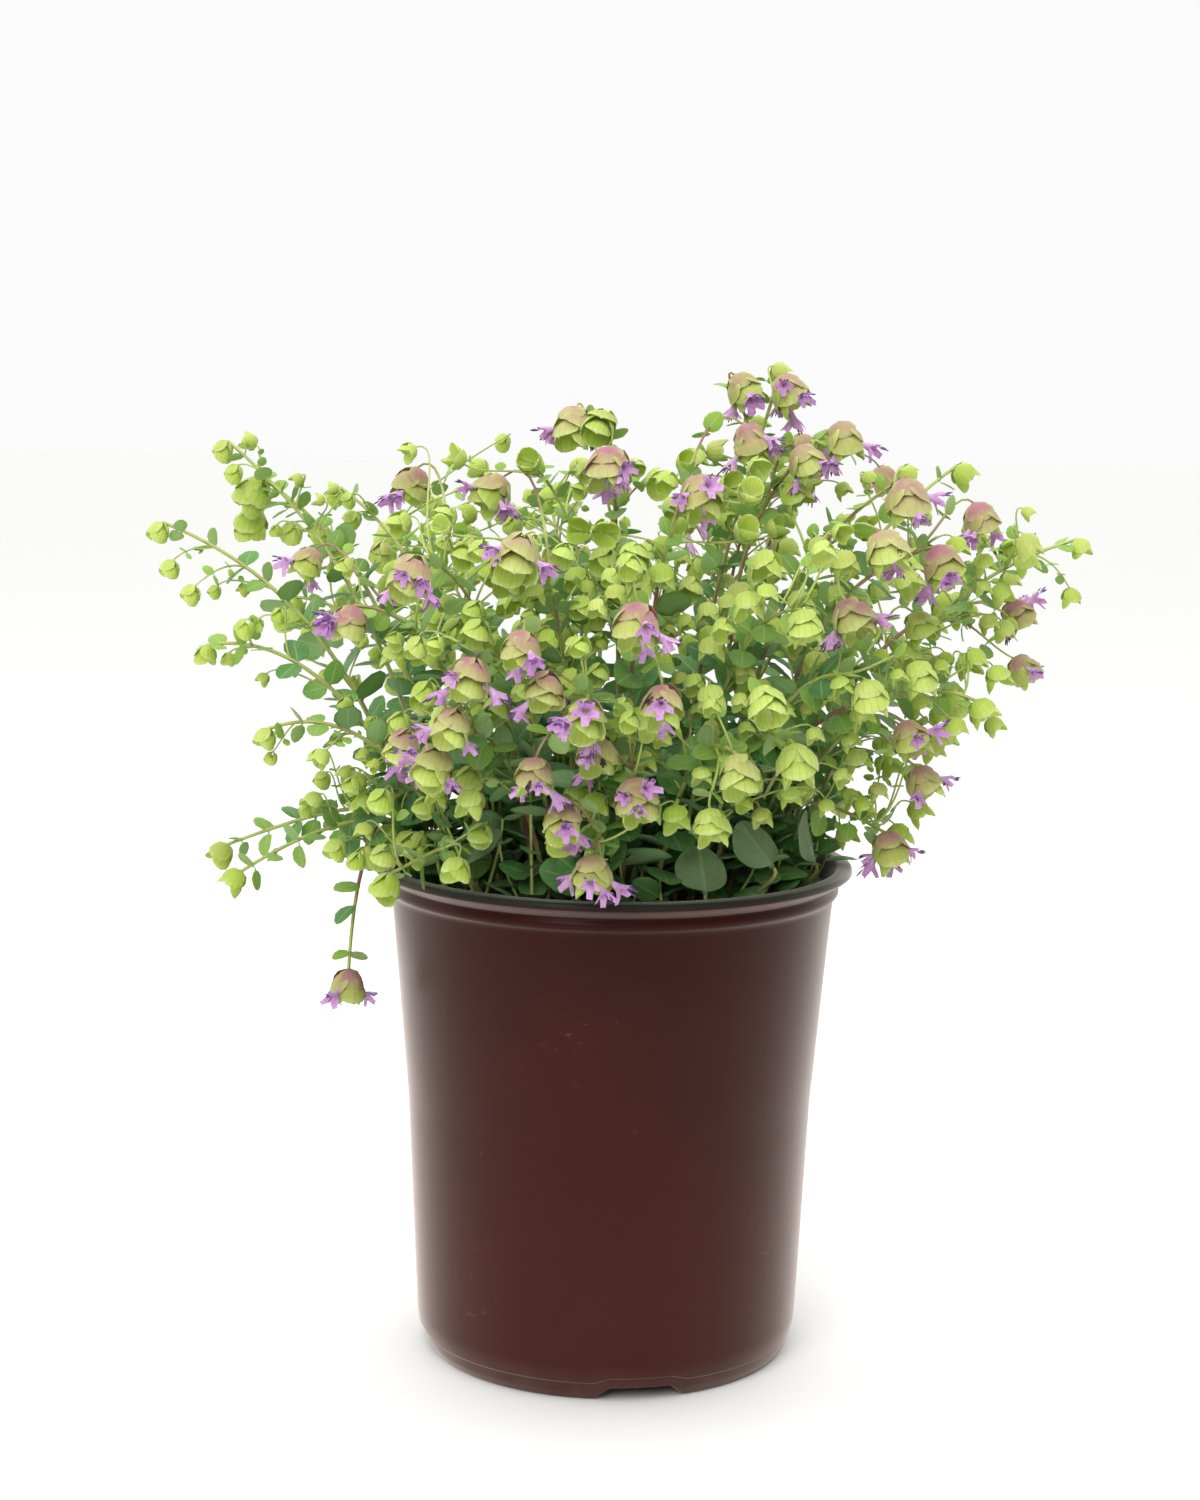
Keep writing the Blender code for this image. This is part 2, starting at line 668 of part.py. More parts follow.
def rings_mesh(first, rings, last):
    """A closed surface from a first point, rings of equally many points, and a last point."""
    sides = len(rings[0])
    points = np.vstack([[first], *rings, [last]])
    end = len(points) - 1
    following = [(side + 1) % sides for side in range(sides)]
    faces = [(0, 1 + following[side], 1 + side) for side in range(sides)]
    for ring in range(len(rings) - 1):
        low = 1 + ring * sides
        high = low + sides
        for side in range(sides):
            right = following[side]
            faces.append((low + side, low + right, high + right, high + side))
    low = 1 + (len(rings) - 1) * sides
    faces += [(end, low + side, low + following[side]) for side in range(sides)]
    return mesh_from(points, faces)


def head_mesh(head):
    """A hop: tiers of two cupped bracts, each tier's lip flared and scalloped over the next.

    A ring's radius and its place along the axis both swell with the cosine of the angle from the
    middle of its two bracts, and the second tier's bracts stand a right angle from the first's.
    """
    axis = head["axis"]
    side = unit(np.cross(axis, (0.31, 0.17, 1)))
    other = np.cross(axis, side)
    size = head["size"]
    turns = np.arange(HEAD_SIDES) * 2 * math.pi / HEAD_SIDES

    def ring(along, radius, scallop, phase):
        swell = np.abs(np.cos(turns - phase))
        wide = size * radius * (1 - scallop + scallop * swell)
        deep = size * (along + 0.5 * scallop * swell)
        return (
            head["top"]
            + np.outer(deep, axis)
            + np.outer(wide * np.cos(turns), side)
            + np.outer(wide * np.sin(turns), other)
        )

    half = 0.5 * HEAD_WIDTH
    quarter = math.pi / 2
    if size < LARGE_HEAD:
        rings = [ring(0.16, 0.58 * half, 0.0, 0), ring(0.66, 0.98 * half, 0.3, 0)]
        return rings_mesh(head["top"], rings, head["top"] + 0.72 * size * axis)
    rings = [
        ring(0.12, 0.56 * half, 0.0, 0),
        ring(0.42, half, 0.24, 0),
        ring(0.50, 0.74 * half, 0.0, 0),
        ring(0.78, 0.96 * half, 0.26, quarter),
    ]
    return rings_mesh(head["top"], rings, head["top"] + 0.80 * size * axis)


def leaf_mesh(root, along, across, length):
    """A broad oval blade of even thickness, folded a little along its rib."""
    up = np.cross(across, along)
    outline = (
        (0.0, 0.0, 0.0),
        (0.30, 0.33, 0.05),
        (0.70, 0.33, 0.05),
        (1.0, 0.0, 0.02),
        (0.70, -0.33, 0.05),
        (0.30, -0.33, 0.05),
    )
    places = np.array(outline) * length
    rim = root + np.outer(places[:, 0], along) + np.outer(places[:, 1], across)
    rim = rim + np.outer(places[:, 2], up)
    upper = rim + 0.5 * LEAF_THICKNESS * up
    lower = rim - 0.5 * LEAF_THICKNESS * up
    halves = ((0, 1, 2), (0, 2, 3), (0, 3, 4), (0, 4, 5))
    faces = [tuple(corner for corner in reversed(face)) for face in halves]
    faces += [tuple(corner + 6 for corner in face) for face in halves]
    for side in range(6):
        right = (side + 1) % 6
        faces += [(side, right, right + 6), (side, right + 6, side + 6)]
    return mesh_from(np.vstack([upper, lower]), faces)


def flower_mesh(flower):
    """A trumpet that opens from a point into a flared mouth."""
    along = flower["along"]
    side = unit(np.cross(along, (0.1, 0.2, 1)))
    other = np.cross(along, side)
    turns = np.arange(FLOWER_SIDES) * 2 * math.pi / FLOWER_SIDES
    spokes = np.outer(np.cos(turns), side) + np.outer(np.sin(turns), other)
    start = flower["start"]
    rings = [
        start + 0.5 * FLOWER_LENGTH * along + 1.0 * spokes,
        start + 1.0 * FLOWER_LENGTH * along + 2.9 * spokes,
    ]
    return rings_mesh(start, rings, start + 0.85 * FLOWER_LENGTH * along)


def facing_out(mesh):
    """The mesh with its faces turned to point outwards."""
    shape = bmesh.new()
    shape.from_mesh(mesh)
    bmesh.ops.recalc_face_normals(shape, faces=shape.faces)
    shape.to_mesh(mesh)
    shape.free()
    return mesh


def fuse(name, trunk, meshes, collection, material, root):
    """One solid from a stem's own tube and all that grows on it, with its origin at its root."""
    repeats = new_collection(name + "_repeats")
    for mesh in meshes:
        new_object("repeat", facing_out(mesh), repeats)
    union = trunk.modifiers.new("join", "BOOLEAN")
    union.operation = "UNION"
    union.operand_type = "COLLECTION"
    union.collection = repeats
    union.solver = "MANIFOLD"
    mesh = evaluated_mesh(trunk)
    for repeat in list(repeats.objects):
        bpy.data.objects.remove(repeat)
    bpy.data.collections.remove(repeats)
    bpy.data.objects.remove(trunk)
    place = np.array((root[0], root[1], SOIL_TOP)) * MM
    for vertex in mesh.vertices:
        vertex.co = np.array(vertex.co) - place
    obj = new_object(name, mesh, collection, material)
    obj.location = place
    return obj


def rooted(points):
    """A path with its root let straight down into the soil."""
    foot = points[0].copy()
    foot[2] = SOIL_TOP - HOLE_DEPTH + FIT
    return np.vstack([foot, points])


def make_stem(number, stem, section, collection, material):
    radii = np.linspace(STEM_RADIUS, STEM_END_RADIUS, STEM_STEPS + 2)
    trunk = tube(rooted(stem["line"]), radii, section, collection)
    meshes = [head_mesh(head) for head in stem["heads"]]
    for head in stem["heads"][1:]:
        shoot = tube(head["line"], np.full(SHOOT_STEPS + 1, SHOOT_RADIUS), section, collection)
        meshes.append(shoot.data)
        bpy.data.objects.remove(shoot)
    for leaf in stem["leaves"]:
        meshes.append(leaf_mesh(leaf["root"], leaf["along"], leaf["across"], leaf["length"]))
    meshes += [flower_mesh(flower) for flower in stem["flowers"]]
    name = f"stem_{number + 1:02d}"
    return fuse(name, trunk, meshes, collection, material, stem["line"][0])


def make_basal_leaf(number, stalk, section, collection, material):
    leaf = stalk["leaf"]
    radii = np.full(STALK_STEPS + 2, STALK_RADIUS)
    trunk = tube(rooted(stalk["line"]), radii, section, collection)
    meshes = [leaf_mesh(leaf["root"], leaf["along"], leaf["across"], leaf["length"])]
    name = f"basal_leaf_{number + 1}"
    return fuse(name, trunk, meshes, collection, material, stalk["line"][0])


def build():
    for obj in list(bpy.data.objects):
        bpy.data.objects.remove(obj)
    plant = new_collection("oregano_in_pot")
    pot_cutters = new_collection("pot_cutters", hidden=True)
    hole_cutters = new_collection("hole_cutters", hidden=True)
    guides = new_collection("guides", hidden=True)
    pot_plastic = new_material("maroon_polypropylene", "#4a2b27", 0.42)
    medium = new_material("bark_compost", "#2e241c", 0.95)
    bloom_stem = new_material("stem_in_bloom", "#a98b9a", 0.6)
    green_stem = new_material("stem_with_lime_bracts", "#a9c65a", 0.6)
    dark_leaf = new_material("dark_leaf", "#3f7040", 0.55)

    stems, basal = grow_plant()
    make_pot(plant, pot_cutters, pot_plastic)
    roots = [(stem["corners"][0], STEM_RADIUS) for stem in stems]
    roots += [(stalk["corners"][0], STALK_RADIUS) for stalk in basal]
    make_soil(plant, hole_cutters, medium, roots)
    section = three_sided_section(guides)
    for number, stem in enumerate(stems):
        material = bloom_stem if stem["kind"] == "bloom" else green_stem
        make_stem(number, stem, section, plant, material)
    for number, stalk in enumerate(basal):
        make_basal_leaf(number, stalk, section, plant, dark_leaf)
    for cutter in list(pot_cutters.objects) + list(hole_cutters.objects):
        cutter.hide_render = True
        cutter.display_type = "WIRE"


build()
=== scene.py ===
import json
import math

import bpy
import numpy as np
from mathutils import Matrix

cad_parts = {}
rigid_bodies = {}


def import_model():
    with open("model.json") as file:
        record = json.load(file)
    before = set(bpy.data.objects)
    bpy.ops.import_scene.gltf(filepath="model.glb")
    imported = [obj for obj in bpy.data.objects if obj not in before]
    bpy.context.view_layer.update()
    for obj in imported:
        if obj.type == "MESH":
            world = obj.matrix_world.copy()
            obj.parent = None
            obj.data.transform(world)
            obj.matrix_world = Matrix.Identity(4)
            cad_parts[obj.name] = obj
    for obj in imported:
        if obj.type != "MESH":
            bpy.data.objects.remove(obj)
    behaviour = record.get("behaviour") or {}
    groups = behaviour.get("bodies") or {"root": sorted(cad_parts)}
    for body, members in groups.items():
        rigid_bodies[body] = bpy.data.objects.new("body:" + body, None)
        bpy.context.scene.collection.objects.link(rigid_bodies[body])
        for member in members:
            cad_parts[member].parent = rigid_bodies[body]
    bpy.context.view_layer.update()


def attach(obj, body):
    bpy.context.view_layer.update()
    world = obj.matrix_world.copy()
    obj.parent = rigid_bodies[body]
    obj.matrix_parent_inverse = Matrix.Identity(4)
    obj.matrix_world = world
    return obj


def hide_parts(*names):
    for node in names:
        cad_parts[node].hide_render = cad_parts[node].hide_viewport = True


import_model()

# The studio: a plain pale floor in broad soft light, with the camera where the photograph was taken,
# a short telephoto lens a little above the pot's rim. The surroundings are bright behind the plant and
# dim behind the camera, so light comes through the leaves and gives the pot its pale edges.
MM = 0.001
SHARP_ANGLE = math.radians(50)
IMAGE_HEIGHT = 1500
FOCAL_PIXELS = 2794
FILM_HEIGHT = 36.0
CAMERA_PLACE = (0.0, -0.949, 0.340)
CAMERA_PITCH = math.radians(7.88)
CAMERA_YAW = math.radians(0.30)
CAMERA_ROLL = math.radians(0.87)
FLOOR_REACH = 9000.0
FLOOR_SINK = -0.05
FLOOR_COLOUR = "#eaeae7"
BACKDROP = 0.97
DIM_SIDE = 0.14
BRIGHT_SIDE = 1.9
BRIGHT_WAY = (-0.12, 0.8, 0.25)
BRIGHT_SPAN = (-0.15, 0.45)
PLANT_MIDDLE = (0, 0, 0.2)
SOFT_LIGHTS = (
    ("overhead", (0.15, -0.45, 1.50), 1.2, 1.2, 13.0),
    ("front_fill", (-0.45, -1.60, 1.15), 1.2, 1.0, 24.0),
)


def unit(vectors):
    """Vectors divided by their lengths, along the last axis."""
    return vectors / np.linalg.norm(vectors, axis=-1, keepdims=True)


def linear(hex_colour):
    """Linear colour of an sRGB hex value."""
    channels = np.array([int(hex_colour[k : k + 2], 16) / 255 for k in (1, 3, 5)])
    curved = np.where(channels <= 0.04045, channels / 12.92, ((channels + 0.055) / 1.055) ** 2.4)
    return (*curved.tolist(), 1.0)


def put(tree, kind, inputs=(), **settings):
    """A new shader node: settings are its own, and inputs are values or other nodes' sockets."""
    node = tree.nodes.new("ShaderNode" + kind)
    for name, value in settings.items():
        setattr(node, name, value)
    for socket, value in dict(inputs).items():
        if isinstance(value, bpy.types.NodeSocket):
            tree.links.new(value, node.inputs[socket])
        else:
            node.inputs[socket].default_value = value
    return node


def ramp(tree, value, start, end=(0.0, 1.0)):
    """A value carried evenly from one span of numbers to another, and held at the ends."""
    spans = zip(("From Min", "From Max", "To Min", "To Max"), (*start, *end), strict=True)
    return put(tree, "MapRange", {"Value": value, **dict(spans)}).outputs[0]


def new_material(name, **uniform):
    """A material with its Principled shader, whose values that are even all over are given."""
    material = bpy.data.materials.new(name)
    material.use_nodes = True
    shader = material.node_tree.nodes["Principled BSDF"]
    for socket, value in uniform.items():
        shader.inputs[socket.replace("_", " ")].default_value = value
    return material, material.node_tree, shader


def grid_faces(grid):
    """Four-cornered faces between neighbours of a grid of point numbers."""
    corners = (grid[:-1, :-1], grid[:-1, 1:], grid[1:, 1:], grid[1:, :-1])
    return np.stack(corners, axis=-1).reshape(-1, 4)


def new_piece(name, points, faces, materials, values=()):
    """A smooth mesh object from points in millimetres, with sharp edges where it turns on itself.

    values gives the piece numbers at its points by name, which its materials read as attributes.
    """
    mesh = bpy.data.meshes.new(name)
    mesh.vertices.add(len(points))
    mesh.vertices.foreach_set("co", (np.asarray(points) * MM).astype(np.float32).ravel())
    mesh.loops.add(faces.size)
    mesh.loops.foreach_set("vertex_index", faces.astype(np.int32).ravel())
    mesh.polygons.add(len(faces))
    mesh.polygons.foreach_set("loop_start", np.arange(0, faces.size, faces.shape[1], dtype=np.int32))
    for value_name, numbers in dict(values).items():
        layer = mesh.attributes.new(value_name, "FLOAT", "POINT")
        layer.data.foreach_set("value", np.asarray(numbers, np.float32).ravel())
    for material in materials:
        mesh.materials.append(material)
    mesh.update(calc_edges=True)
    mesh.validate()
    mesh.shade_smooth()
    mesh.set_sharp_from_angle(angle=SHARP_ANGLE)
    piece = bpy.data.objects.new(name, mesh)
    bpy.context.scene.collection.objects.link(piece)
    return piece


def make_camera():
    """The camera's axes from its pitch, yaw and roll, as the columns of its matrix."""
    ahead = np.array(
        (
            -math.sin(CAMERA_YAW) * math.cos(CAMERA_PITCH),
            math.cos(CAMERA_YAW) * math.cos(CAMERA_PITCH),
            -math.sin(CAMERA_PITCH),
        )
    )
    level = unit(np.cross(ahead, (0, 0, 1)))
    upright = np.cross(level, ahead)
    right = math.cos(CAMERA_ROLL) * level + math.sin(CAMERA_ROLL) * upright
    up = math.cos(CAMERA_ROLL) * upright - math.sin(CAMERA_ROLL) * level
    data = bpy.data.cameras.new("camera")
    data.sensor_fit = "VERTICAL"
    data.sensor_height = FILM_HEIGHT
    data.lens = FILM_HEIGHT * FOCAL_PIXELS / IMAGE_HEIGHT
    data.clip_start = 0.05
    camera = bpy.data.objects.new("camera", data)
    bpy.context.scene.collection.objects.link(camera)
    axes = Matrix((right, up, -ahead)).transposed().to_4x4()
    camera.matrix_world = Matrix.Translation(CAMERA_PLACE) @ axes
    bpy.context.scene.camera = camera


def make_soft_light(name, place, width, height, watts):
    """A soft box that looks at the middle of the plant."""
    data = bpy.data.lights.new(name, "AREA")
    data.shape = "RECTANGLE"
    data.size = width
    data.size_y = height
    data.energy = watts
    light = bpy.data.objects.new(name, data)
    bpy.context.scene.collection.objects.link(light)
    back = unit(np.array(place) - PLANT_MIDDLE)
    level = unit(np.cross((0, 0.01, 1), back))
    axes = Matrix((level, np.cross(back, level), back)).transposed().to_4x4()
    light.matrix_world = Matrix.Translation(place) @ axes
    light.visible_camera = False


def make_surroundings():
    """Even white where the camera looks past the floor, and a fill that lights the object from behind."""
    world = bpy.data.worlds.new("studio")
    bpy.context.scene.world = world
    world.use_nodes = True
    tree = world.node_tree
    tree.nodes.clear()
    seen = put(tree, "Background", {"Color": (1, 1, 1, 1), "Strength": BACKDROP})
    direction = put(tree, "TexCoord").outputs["Generated"]
    behind = put(tree, "VectorMath", {0: direction, 1: BRIGHT_WAY}, operation="DOT_PRODUCT")
    strength = ramp(tree, behind.outputs["Value"], BRIGHT_SPAN, (DIM_SIDE, BRIGHT_SIDE))
    lit = put(tree, "Background", {"Color": (1, 1, 1, 1), "Strength": strength})
    to_camera = put(tree, "LightPath").outputs["Is Camera Ray"]
    both = put(tree, "MixShader", {0: to_camera, 1: lit.outputs[0], 2: seen.outputs[0]})
    put(tree, "OutputWorld", {"Surface": both.outputs[0]})


def make_floor():
    """One flat sheet, just under what stands on it."""
    corners = FLOOR_REACH * np.array(((-1, -1), (1, -1), (1, 1), (-1, 1)))
    points = np.column_stack([corners, np.full(4, FLOOR_SINK)])
    painted, _, shader = new_material("painted_board", Roughness=0.8)
    shader.inputs["Base Color"].default_value = linear(FLOOR_COLOUR)
    floor = new_piece("floor", points, np.arange(4)[None], [painted])


bpy.context.scene.view_settings.view_transform = "Standard"
make_camera()
for soft_light in SOFT_LIGHTS:
    make_soft_light(*soft_light)
make_surroundings()
make_floor()

# The pot: one thin moulded polypropylene shell, maroon outside and green-black inside. Its wall tapers to
# a raised floor with four drain holes, over a skirt with four notches that let water out. A flared lip
# and a bead below it stiffen the mouth.
RIM_RADIUS = 82.5
RIM_TOP = 171.0
RIM_INNER = 76.2
BEAD_RADIUS = 77.8
SHOULDER_RADIUS = 75.1
WAIST_RADIUS = 69.7
HEEL_RADIUS = 66.1
HEEL_HEIGHT = 11.0
FOOT_RADIUS = 61.5
SKIRT_INNER = 59.3
WALL = 1.1
FLOOR_UNDERSIDE = 6.0
FLOOR_TOP = 7.3
POT_SIDES = 216
NOTCHES = 4
NOTCH_TURN = math.radians(-79.1)
NOTCH_HEIGHT = 4.5
NOTCH_HALF_TOP = 10.0
NOTCH_HALF_FOOT = 15.4
DRAIN_RADIUS = 5.0
DRAIN_RING = 38.0
DRAINS = 4
CAP_RADIUS = 8.0
OUTER_HEIGHTS = (0.0, 3.0, HEEL_HEIGHT)
OUTER_RADII = (FOOT_RADIUS, FOOT_RADIUS + 1.8, HEEL_RADIUS)
# A lighter maroon that the wall is painted with towards its foot.
MAROON = ("#2a0c0a", "#33120f")
PALER_FOOT_MAROON = "#46201a"
INNER_GREEN = "#20261f"
PALE_WEAR = "#a8968a"
EDGE_SHEEN = "#ddcfc9"


def rounded(corners, steps=4):
    """A profile whose corners are swept round: each is (radius, height, how far the curve starts from it).

    The curve at a corner is the quadratic one between the two points at that distance from it.
    """
    places = np.array([corner[:2] for corner in corners])
    points = [places[0]]
    share = np.linspace(0, 1, steps + 1)[:, None]
    neighbours = zip(places, places[1:], places[2:], corners[1:], strict=False)
    for before, corner, after, (_, _, reach) in neighbours:
        enter = corner + reach * unit(before - corner)
        leave = corner + reach * unit(after - corner)
        points.extend((1 - share) ** 2 * enter + 2 * share * (1 - share) * corner + share**2 * leave)
    points.append(places[-1])
    return np.array(points)


def subdivided(profile, longest):
    """The profile with points added so that no stretch of it is longer than a length."""
    spans = np.linalg.norm(np.diff(profile, axis=0), axis=1)
    pieces = np.maximum(1, np.ceil(spans / longest)).astype(int)
    shares = np.concatenate([k + np.arange(n) / n for k, n in enumerate(pieces)] + [[len(spans)]])
    steps = np.arange(len(profile))
    return np.column_stack([np.interp(shares, steps, profile[:, axis]) for axis in (0, 1)])


def ring_faces(rows, sides):
    """Faces of a tube of rings that run round anticlockwise seen from its last ring, with flat ends."""
    numbers = np.arange(rows * sides).reshape(rows, sides)
    around = grid_faces(np.column_stack([numbers, numbers[:, 0]]))
    half = np.arange(sides // 2 - 1)
    cap = np.column_stack([half, half + 1, sides - 2 - half, sides - 1 - half])
    return np.concatenate([around, cap[:, ::-1], cap + (rows - 1) * sides])


def turned_points(profile, sides):
    """The profile's (radius, height) points carried round the upright axis: rows by sides by 3."""
    turns = np.arange(sides) * 2 * math.pi / sides
    radius = profile[:, :1]
    height = np.repeat(profile[:, 1:], sides, axis=1)
    return np.stack([radius * np.cos(turns), radius * np.sin(turns), height], axis=-1)


def notch_lift(turns):
    """How high the foot's edge is lifted at each angle: flat over a notch's top, sloping at its ends."""
    pitch = 2 * math.pi / NOTCHES
    apart = (turns - NOTCH_TURN + pitch / 2) % pitch - pitch / 2
    ends = (NOTCH_HALF_FOOT - np.abs(apart) * FOOT_RADIUS) / (NOTCH_HALF_FOOT - NOTCH_HALF_TOP)
    return NOTCH_HEIGHT * np.clip(ends, 0, 1)


def pot_surface():
    """The shell from the underside out, up the outer wall, over the lip and down to the floor's top.

    Below the heel, a point's height is squeezed into the room that the notch leaves, and it keeps its
    share of the way from the skirt's inner face to the outer wall at its new height.
    """
    floor_edge = HEEL_RADIUS - WALL - 2.1
    outer = rounded(
        (
            (CAP_RADIUS, FLOOR_UNDERSIDE, 0),
            (SKIRT_INNER, FLOOR_UNDERSIDE, 0.5),
            (SKIRT_INNER, 0.0, 0.4),
            (FOOT_RADIUS, 0.0, 0.6),
            (FOOT_RADIUS + 1.8, 3.0, 0.8),
            (FOOT_RADIUS + 2.9, 6.3, 0.2),
            (FOOT_RADIUS + 3.4, 6.7, 0.2),
            (HEEL_RADIUS, HEEL_HEIGHT, 2.6),
            (WAIST_RADIUS, 88.0, 1.0),
            (SHOULDER_RADIUS, 151.0, 4.0),
            (SHOULDER_RADIUS + 0.9, 160.0, 1.4),
            (BEAD_RADIUS, 161.4, 0.9),
            (BEAD_RADIUS, 163.2, 0.8),
            (BEAD_RADIUS - 1.0, 165.0, 0.7),
            (RIM_RADIUS - 1.6, RIM_TOP - 3.6, 1.2),
            (RIM_RADIUS, RIM_TOP - 2.4, 0.7),
            (RIM_RADIUS - 0.5, RIM_TOP - 0.4, 0.8),
            (RIM_INNER + 1.2, RIM_TOP, 1.2),
            (RIM_INNER, RIM_TOP - 3.5, 1.5),
            (SHOULDER_RADIUS - WALL, 151.0, 4.0),
            (WAIST_RADIUS - WALL, 88.0, 1.0),
            (floor_edge, FLOOR_TOP, 2.5),
            (CAP_RADIUS, FLOOR_TOP, 0),
        )
    )
    profile = subdivided(outer, 6.0)
    points = turned_points(profile, POT_SIDES)
    turns = np.arange(POT_SIDES) * 2 * math.pi / POT_SIDES
    low = (profile[:, 1] < HEEL_HEIGHT) & (profile[:, 0] > SKIRT_INNER - 1)
    low &= np.arange(len(profile)) < np.argmax(profile[:, 0])
    inside = low & (profile[:, 0] < SKIRT_INNER + 0.45)
    ceiling = np.where(inside, FLOOR_UNDERSIDE, HEEL_HEIGHT)[low, None]
    radius, height = profile[low, :1], profile[low, 1:]
    lifted = height + notch_lift(turns) * np.clip(1 - height / ceiling, 0, 1)
    share = (radius - SKIRT_INNER) / (np.interp(height, OUTER_HEIGHTS, OUTER_RADII) - SKIRT_INNER)
    moved = SKIRT_INNER + share * (np.interp(lifted, OUTER_HEIGHTS, OUTER_RADII) - SKIRT_INNER)
    points[low] = np.stack([moved * np.cos(turns), moved * np.sin(turns), lifted], axis=-1)
    within = np.arange(len(profile)) > np.argmax(profile[:, 0])
    inner = np.repeat(within[:, None], POT_SIDES, axis=1).astype(float)
    return points.reshape(-1, 3), ring_faces(len(profile), POT_SIDES), inner.ravel()


def drilled(piece):
    """The piece with a round drain cut through its floor in each quarter, between the notches."""
    cutters = bpy.data.collections.new("drain_cutters")
    bpy.context.scene.collection.children.link(cutters)
    heights = np.array(((DRAIN_RADIUS, FLOOR_UNDERSIDE - 2), (DRAIN_RADIUS, FLOOR_TOP + 2)))
    for index in range(DRAINS):
        turn = NOTCH_TURN + math.pi / 4 + index * 2 * math.pi / DRAINS
        middle = DRAIN_RING * np.array((math.cos(turn), math.sin(turn), 0))
        points = turned_points(heights, 24).reshape(-1, 3) + middle
        drain = new_piece("drain", points, ring_faces(2, 24), [])
        bpy.context.scene.collection.objects.unlink(drain)
        cutters.objects.link(drain)
    cut = piece.modifiers.new("drains", "BOOLEAN")
    cut.operation = "DIFFERENCE"
    cut.operand_type = "COLLECTION"
    cut.collection = cutters
    graph = bpy.context.evaluated_depsgraph_get()
    mesh = bpy.data.meshes.new_from_object(piece.evaluated_get(graph))
    piece.modifiers.clear()
    piece.data = mesh
    for drain in list(cutters.objects):
        bpy.data.objects.remove(drain)
    bpy.data.collections.remove(cutters)
    return piece


def blend(tree, share, first, second):
    """A colour on the way from the first to the second, each a hex value or a socket, by a share."""
    first, second = (linear(end) if isinstance(end, str) else end for end in (first, second))
    return put(tree, "Mix", {0: share, 6: first, 7: second}, data_type="RGBA").outputs[2]


def calc(tree, operation, *values):
    """The number that an operation makes of one to three numbers."""
    return put(tree, "Math", dict(enumerate(values)), operation=operation).outputs[0]


def noise(tree, place, size, detail, roughness=0.5):
    """Cloudy noise, whose largest patches are about a size in millimetres across."""
    look = {"Scale": 1 / (size * MM), "Detail": detail, "Roughness": roughness}
    return put(tree, "TexNoise", {"Vector": place, **look}).outputs[0]


def read_values(tree, *names):
    """Where the object is, and the values that its mesh has by name at its points."""
    place = put(tree, "TexCoord").outputs["Object"]
    return place, *[put(tree, "Attribute", attribute_name=name).outputs["Fac"] for name in names]


def paint(tree, shader, colour):
    """Gives the surface its colour."""
    tree.links.new(colour, shader.inputs["Base Color"])


def emboss(tree, shader, height, strength, depth):
    """Gives the surface a fine relief from a height, with its depth in millimetres."""
    bump = put(tree, "Bump", {"Height": height, "Strength": strength, "Distance": depth * MM})
    tree.links.new(bump.outputs[0], shader.inputs["Normal"])


def moulded_polypropylene():
    """Satin moulded plastic: a soft reflection with a fine orange-peel grain, dulled by handling.

    Dust has dried on the foot, faint smears run over the wall, and a few pale scuffs show where pots
    have rubbed. Light that grazes the wall makes its edges paler.
    """
    material, tree, shader = new_material(
        "moulded_polypropylene",
        IOR=1.49,
        Specular_IOR_Level=0.07,
        Sheen_Weight=1.0,
        Sheen_Roughness=0.37,
        Sheen_Tint=linear(EDGE_SHEEN),
    )
    place, inner = read_values(tree, "inner")
    height = put(tree, "SeparateXYZ", {"Vector": place}).outputs["Z"]
    smear = noise(tree, place, 60, 5, 0.62)
    maroon = blend(tree, ramp(tree, smear, (0.35, 0.72)), *MAROON)
    # The wall is painted paler towards the foot, most at the bottom, by its height alone.
    paler_low_maroon = blend(tree, ramp(tree, height, (0.165, 0.0), (0, 0.8)), maroon, PALER_FOOT_MAROON)
    slanted = put(tree, "Mapping", {"Vector": place, "Scale": (0.6, 0.6, 1), "Rotation": (0.5, 0.6, 0)})
    scratched = ramp(tree, noise(tree, slanted.outputs[0], 3.2, 5, 0.6), (0.62, 0.84), (0, 0.5))
    rubbed = ramp(tree, noise(tree, place, 30, 2), (0.58, 0.72))
    scuff = calc(tree, "MULTIPLY", scratched, rubbed)
    low = ramp(tree, height, (0.013, 0.001), (0, 0.30))
    speckle = ramp(tree, noise(tree, place, 14, 7, 0.6), (0.35, 0.70), (0.25, 1))
    dust = calc(tree, "MULTIPLY", low, speckle)
    wear = calc(tree, "MAXIMUM", scuff, dust)
    worn = blend(tree, calc(tree, "MULTIPLY", wear, 0.45), paler_low_maroon, PALE_WEAR)
    paint(tree, shader, blend(tree, inner, worn, INNER_GREEN))
    dull = ramp(tree, smear, (0.3, 0.7), (0.30, 0.40))
    rough = calc(tree, "MULTIPLY_ADD", wear, 0.4, dull)
    tree.links.new(rough, shader.inputs["Roughness"])
    emboss(tree, shader, noise(tree, place, 1.6, 3, 0.6), 0.12, 0.15)
    return material


pot_points, pot_faces, pot_inner = pot_surface()
pot = new_piece("pot_shell", pot_points, pot_faces, [moulded_polypropylene()], {"inner": pot_inner})
drilled(pot)
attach(pot, "root")
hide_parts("pot")

# The growing medium: peat and composted bark, watered down to a firm crumbly bed a little below the
# bead. Loose crumbs and flakes of bark lie on it.
SOIL_EDGE = 147.0
SOIL_TOP = 149.0
SOIL_SIDES = 180
SOIL_GAP = 0.3
CRUMBS = 2400
FLAKES = 260
SOIL_RADIUS = SHOULDER_RADIUS - WALL - 1.3
PEAT = ("#140f0b", "#33271c")
BARK = ("#1a120c", "#5a4330")


